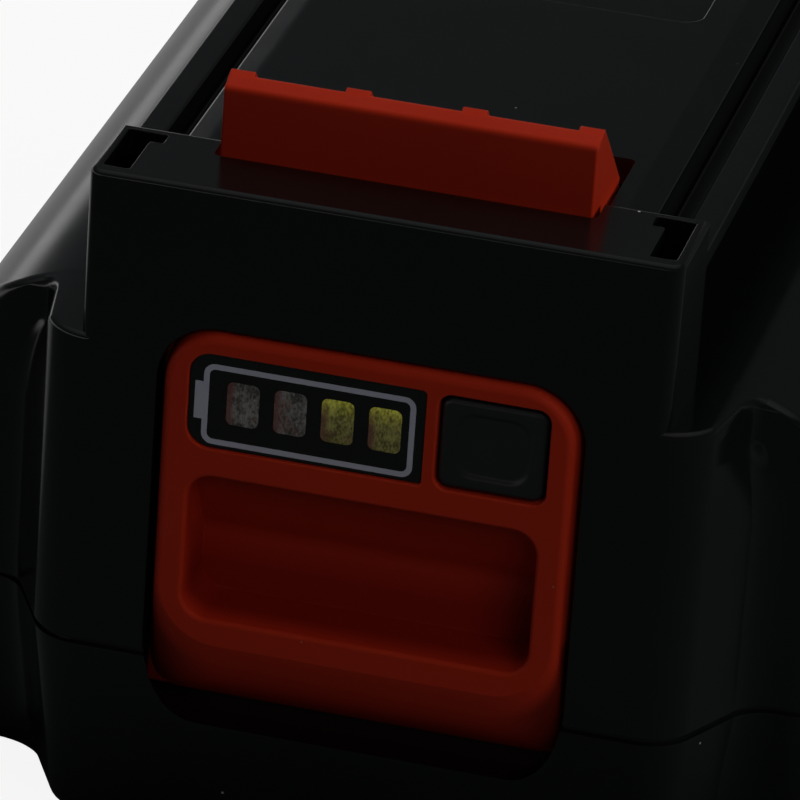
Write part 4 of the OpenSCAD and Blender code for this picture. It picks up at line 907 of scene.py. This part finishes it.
def lamp_outline(x, extra, radius):
    half_w, half_h = LAMP_W / 2 + extra, LAMP_H / 2 + extra
    return round_rect(x - half_w, x + half_w, LAMP_Z - half_h, LAMP_Z + half_h, radius, radius, 5)

combine(label, "DIFFERENCE", [prism("lamp_cut", lamp_outline(x, 0.02, 0.62), "Y", -1, 1) for x in lamp_x])
dress(smoothed(label), "latch", "label_film", FILM, "gauge_label")

x0, x1, z0, z1 = -14.67, 4.11, SHELF - 23.7, SHELF - 16.1
nub_x, nub_z0, nub_z1 = x0 - 0.73, SHELF - 21.45, SHELF - 17.9
outline = (arc((x1 - 1, z0 + 1), 1, -90, 0, 6) + arc((x1 - 1, z1 - 1), 1, 0, 90, 6)
    + arc((x0 + 1, z1 - 1), 1, 90, 180, 6) + [(x0, nub_z1), (nub_x, nub_z1), (nub_x, nub_z0), (x0, nub_z0)]
    + arc((x0 + 1, z0 + 1), 1, 180, 270, 6))
ink = prism("battery_outline", outline, "Y", LABEL_FRONT - INK_T, LABEL_FRONT + 0.02)
inner = round_rect(x0 + LINE_W, x1 - LINE_W, z0 + LINE_W, z1 - LINE_W, 0.55, 0.55)
combine(ink, "DIFFERENCE", [prism("outline_hole", inner, "Y", -1, 1)])
dress(smoothed(ink), "latch", "label_film", INK)

for name, first, finish in (("windows_dark", 0, WINDOW_OFF), ("windows_lit", 2, WINDOW_ON)):
    window = prism("window", lamp_outline(0, 0, 0.6), "Y", LABEL_FRONT - 0.02, 0.6, 0.08)
    pair = row_of(name, window, 2, (lamp_x[first], 0, 0), (LAMP_PITCH, 0, 0), finish)
    dress(smoothed(pair), "latch", "clear_plastic", finish)
guide = lamp_block("guide_plate", LAMP_X, 8.55, 2.85, PLATE_FRONT, PLATE_BACK - 0.6, 0.2)
combine(guide, "UNION", [lamp_block("light_post", x, 1.4, 2.0, 0.55, PLATE_FRONT + 0.3) for x in lamp_x])
dress(smoothed(guide), "latch", "clear_plastic", CLEAR, "light_guide")

# %% [markdown]
# ## The charge button
# A small black cap fills the window beside the label. A flange behind the face keeps it in, its stem reaches the
# switch, and a shallow dish in front leads the fingertip. The dish is a loft with sloping sides, cut out of the cap.

# %% Charge button
cap = prism("charge_cap", press_outline(0.25, 1.0), "Y", 0.1 - PROUD, 2.3, 0.5)
flange = press_block("flange", 0.5, PLATE_FRONT - 1, PLATE_FRONT, 0.15)
press_x = (PRESS[0] + PRESS[1]) / 2
stem = prism("stem", circle(press_x, LAMP_Z, 1.5, 24), "Y", PLATE_FRONT - SINK, 5.45, 0.2)
dish_steps = ((-0.18, 2.9, 2.6), (-0.3, 3.2, 2.9), (-0.5, 3.5, 3.2), (-1.2, 3.7, 3.4))
dish = loft("dish", [place_on("Y", v, round_rect(press_x - w, press_x + w, LAMP_Z - h, LAMP_Z + h, 1.6, 1.6, 6))
    for v, w, h in dish_steps])
combine(cap, "UNION", [flange, stem])
combine(cap, "DIFFERENCE", [dish])
dress(smoothed(cap), "charge_button", "button_plastic", BUTTON, "charge_button")

# %% [markdown]
# ## Metals
# Springs, screws, straps and contacts are bare metal. Drawn or rolled metal has fine lines along one direction, so the
# same stretched noise drives its colour, roughness and bump.

# %% Metals
def drawn_out(name, low, high, rough, along, detail, bump, depth_mm, metal=0.0):
    mat, tree, skin, place = finish_of(name, metal=metal)
    lines = noise(tree, stretch(tree, place, along), 1.0, detail)
    surface(tree, skin, mixed(tree, lines, low, high), remap(tree, lines, 0.3, 0.7, *rough))
    bumped(tree, skin, lines, bump, depth_mm)
    return mat

def brushed_metal(name, low, high, rough, along):
    return drawn_out(name, low, high, (rough - 0.08, rough + 0.1), along, 3, 0.2, 0.01, 1.0)

STEEL = brushed_metal("spring_steel", (0.5, 0.5, 0.51), (0.66, 0.66, 0.67), 0.3, (1500, 1500, 400))
SCREW = brushed_metal("screw_steel", (0.36, 0.36, 0.37), (0.52, 0.52, 0.53), 0.36, (900, 900, 300))
print("finishes:", STEEL.name, SCREW.name)

# %% [markdown]
# ## The latch springs
# Two coils of round wire push the latch up. A node tree sweeps a circle along a spiral, with the turns and sizes as
# inputs. They stand on the floor of the lower half.

# %% Springs
WIRE_R, COIL_R, TURNS = 0.35, 2.45, 8.0
SPRING_Z0, SPRING_LEN = WALL + 0.05, BUTTON_LOW - WALL - 0.1
coil, coil_ids, given = new_tree("coil_of_wire", Turns="Float", Radius="Float", Height="Float", Wire="Float",
    Place="Vector", Finish="Material")
helix = feed(coil, "GeometryNodeCurveSpiral", {"Resolution": 28, "Rotations": given["Turns"],
    "Start Radius": given["Radius"], "End Radius": given["Radius"],
    "Height": given["Height"]})
ring = feed(coil, "GeometryNodeCurvePrimitiveCircle", {"Resolution": 10, "Radius": given["Wire"]})
tube = feed(coil, "GeometryNodeCurveToMesh", {"Curve": helix[0], "Profile Curve": ring["Curve"], "Fill Caps": True})
moved = feed(coil, "GeometryNodeTransform", {"Geometry": tube[0], "Translation": given["Place"]})
close_tree(coil, moved[0], given["Finish"])
for side, x in (("left", -SPRING_X), ("right", SPRING_X)):
    foot = Vector((x, Y0 + SPRING_V, SPRING_Z0 + WIRE_R)) * MM
    spring = grow("spring_" + side, coil, coil_ids, Turns=TURNS, Radius=COIL_R * MM,
        Height=(SPRING_LEN - 2 * WIRE_R) * MM, Wire=WIRE_R * MM, Place=foot, Finish=STEEL)
    spring.data.shade_smooth()
    dress(spring, "housing", "spring_steel", STEEL, "latch_spring_" + side)
    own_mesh(spring)

# %% [markdown]
# ## Screws in the base
# Four screws hold the halves together from below. Their heads sit deep in round wells, with a six-sided drive. Each is
# a turned profile run round as a loft, and a row of two makes each pair.

# %% Screws in the base
def screw_piece(n=32):
    turned = [(2.1, 5.8), (2.35, 5.9), (2.5, 6.15), (2.5, 8.0), (1.5, 8.0), (1.5, 25.6), (1.3, 26.0)]
    angles = [2 * math.pi * i / n for i in range(n)]
    body = loft("screw", [[(r * math.cos(a), r * math.sin(a), z) for a in angles] for r, z in turned])
    corners = [math.radians(60 * i) for i in range(6)]
    drive = prism("drive", [(1.12 * math.cos(a), 1.12 * math.sin(a) - Y0) for a in corners], "Z", 5.0, 7.2)
    return combine(body, "DIFFERENCE", [drive])

for name, (x, v), nodes in (("screws_front", SCREW_FRONT, ["housing_screws"]), ("screws_rear", SCREW_REAR, [])):
    pair = row_of(name, screw_piece(), 2, (-x, Y0 + v, 0), (2 * x, 0, 0), SCREW)
    dress(smoothed(pair), "housing", "screw_steel", SCREW, *nodes)

# %% [markdown]
# ## Finishes inside
# The cells, boards, straps and contacts keep their solids and get finishes of their own: shrink sleeve, lacquered board
# with pale tracks, fibre sheet, nickel strip, brass, and dull moulded plastic.

# %% Finishes inside
def lacquered_board(name):
    mat, tree, skin, place = finish_of(name)
    tracks = add(tree, "ShaderNodeTexBrick", offset=0.37, squash=1.0)
    for label, value in (("Vector", place), ("Scale", 260), ("Mortar Size", 0.06), ("Color1", (0.018, 0.12, 0.05)),
            ("Color2", (0.024, 0.15, 0.06)), ("Mortar", (0.05, 0.23, 0.09))):
        put(tree, tracks.inputs[label], value)
    bare = remap(tree, noise(tree, place, 90, 2), 0.4, 0.6, 0.0, 1.0)
    surface(tree, skin, mixed(tree, bare, (0.02, 0.13, 0.055), tracks.outputs["Color"]),
        remap(tree, noise(tree, place, 400, 2), 0.3, 0.7, 0.26, 0.4))
    bumped(tree, skin, tracks.outputs["Fac"], 0.3, 0.03)
    return mat

SLEEVE = drawn_out("cell_sleeve", (0.012, 0.075, 0.25), (0.02, 0.11, 0.33), (0.24, 0.36), (40, 400, 400), 2, 0.25, 0.03)
PAPER = drawn_out("fibre_sheet", (0.27, 0.2, 0.12), (0.4, 0.32, 0.2), (0.7, 0.88), (900, 300, 2400), 4, 0.4, 0.02)
SLOT_FINISH = {
    "board": lacquered_board("board_lacquer"), "cell_sleeve": SLEEVE, "sheet_paper": PAPER, "screw_steel": SCREW,
    "holder_plastic": dull_plastic("holder_plastic", (0.011, 0.011, 0.012), (0.018, 0.018, 0.019), 0.5),
    "component_plastic": dull_plastic("component_plastic", (0.006, 0.006, 0.007), (0.010, 0.010, 0.011), 0.45),
    "plunger_plastic": dull_plastic("plunger_plastic", (0.5, 0.42, 0.3), (0.58, 0.5, 0.38), 0.4),
    "wire_jacket": dull_plastic("wire_jacket", (0.16, 0.008, 0.006), (0.22, 0.012, 0.009), 0.42),
    "lamp": dull_plastic("lamp_lens", (0.62, 0.6, 0.33), (0.72, 0.7, 0.42), 0.2),
    "nickel": brushed_metal("nickel_strip", (0.5, 0.48, 0.43), (0.63, 0.61, 0.55), 0.34, (300, 2600, 300)),
    "contact_brass": brushed_metal("contact_brass", (0.5, 0.34, 0.12), (0.62, 0.44, 0.17), 0.32, (600, 300, 2400)),
    "copper_alloy": brushed_metal("copper_strip", (0.42, 0.23, 0.12), (0.55, 0.32, 0.17), 0.36, (2000, 300, 300)),
    "capacitor_can": brushed_metal("capacitor_can", (0.05, 0.055, 0.09), (0.075, 0.08, 0.125), 0.36, (500, 500, 1800))}
print("finishes inside:", len(SLOT_FINISH))

# %% [markdown]
# ## Wires of the gauge
# Four thin wires run from the gauge board to the main board. A curve with a round bevel is the quickest way to draw
# them, and their bends are eased so that there is no kink. The curve becomes a mesh before it rides on the housing.

# %% Wires of the gauge
BOARD_Z, LEAD_Z, WIRE_X = 44.7, 47.4, (-3.6, -1.2, 1.2, 3.6)
JACKET_R = 0.55
route = [(9.2, LEAD_Z), (11.2, LEAD_Z), (14.2, LEAD_Z + 0.4), (18.2, LEAD_Z + 0.7), (21.0, LEAD_Z + 0.6),
    (22.7, LEAD_Z), (23.5, LEAD_Z - 1), (23.7, BOARD_Z)]
fine = [route[0]] + eased(route, 0.9, 5)[6:-6] + [route[-1]]
wires = bpy.data.curves.new("gauge_wires", "CURVE")
wires.dimensions, wires.bevel_depth, wires.bevel_resolution, wires.use_fill_caps = "3D", JACKET_R * MM, 3, True
for x in WIRE_X:
    wire = wires.splines.new("POLY")
    wire.points.add(len(fine) - 1)
    for point, (v, z) in zip(wire.points, fine):
        point.co = (x * MM, (Y0 + v) * MM, z * MM, 1)
drawn = shown("gauge_wires_curve", wires)
bpy.context.view_layer.update()
wire_mesh = bpy.data.meshes.new_from_object(drawn.evaluated_get(bpy.context.evaluated_depsgraph_get()))
bpy.data.objects.remove(drawn)
wire_set = shown("gauge_wires", wire_mesh)
wire_set.data.shade_smooth()
dress(wire_set, "housing", "wire_jacket", SLOT_FINISH["wire_jacket"], "gauge_lead")

# %% [markdown]
# ## Solids that stay
# Every solid that no piece above stands for is shown as it is. Its material slot in the record says what it is made of,
# so a table from slot to finish dresses them all.

# %% Finishes onto the solids that stay
slot_of = {p["node"]: p["material_slot"] for p in frame["record"]["subparts"]}
stay = {name: obj for name, obj in frame["nodes"].items() if not obj.hide_render}
for name, obj in stay.items():
    obj.data.materials.clear()
    obj.data.materials.append(SLOT_FINISH[slot_of[name]])
print("solids kept with a finish:", len(stay))

# %% [markdown]
# ## Closing
# The last line brings the scene up to date.

# %% Finish
bpy.context.view_layer.update()
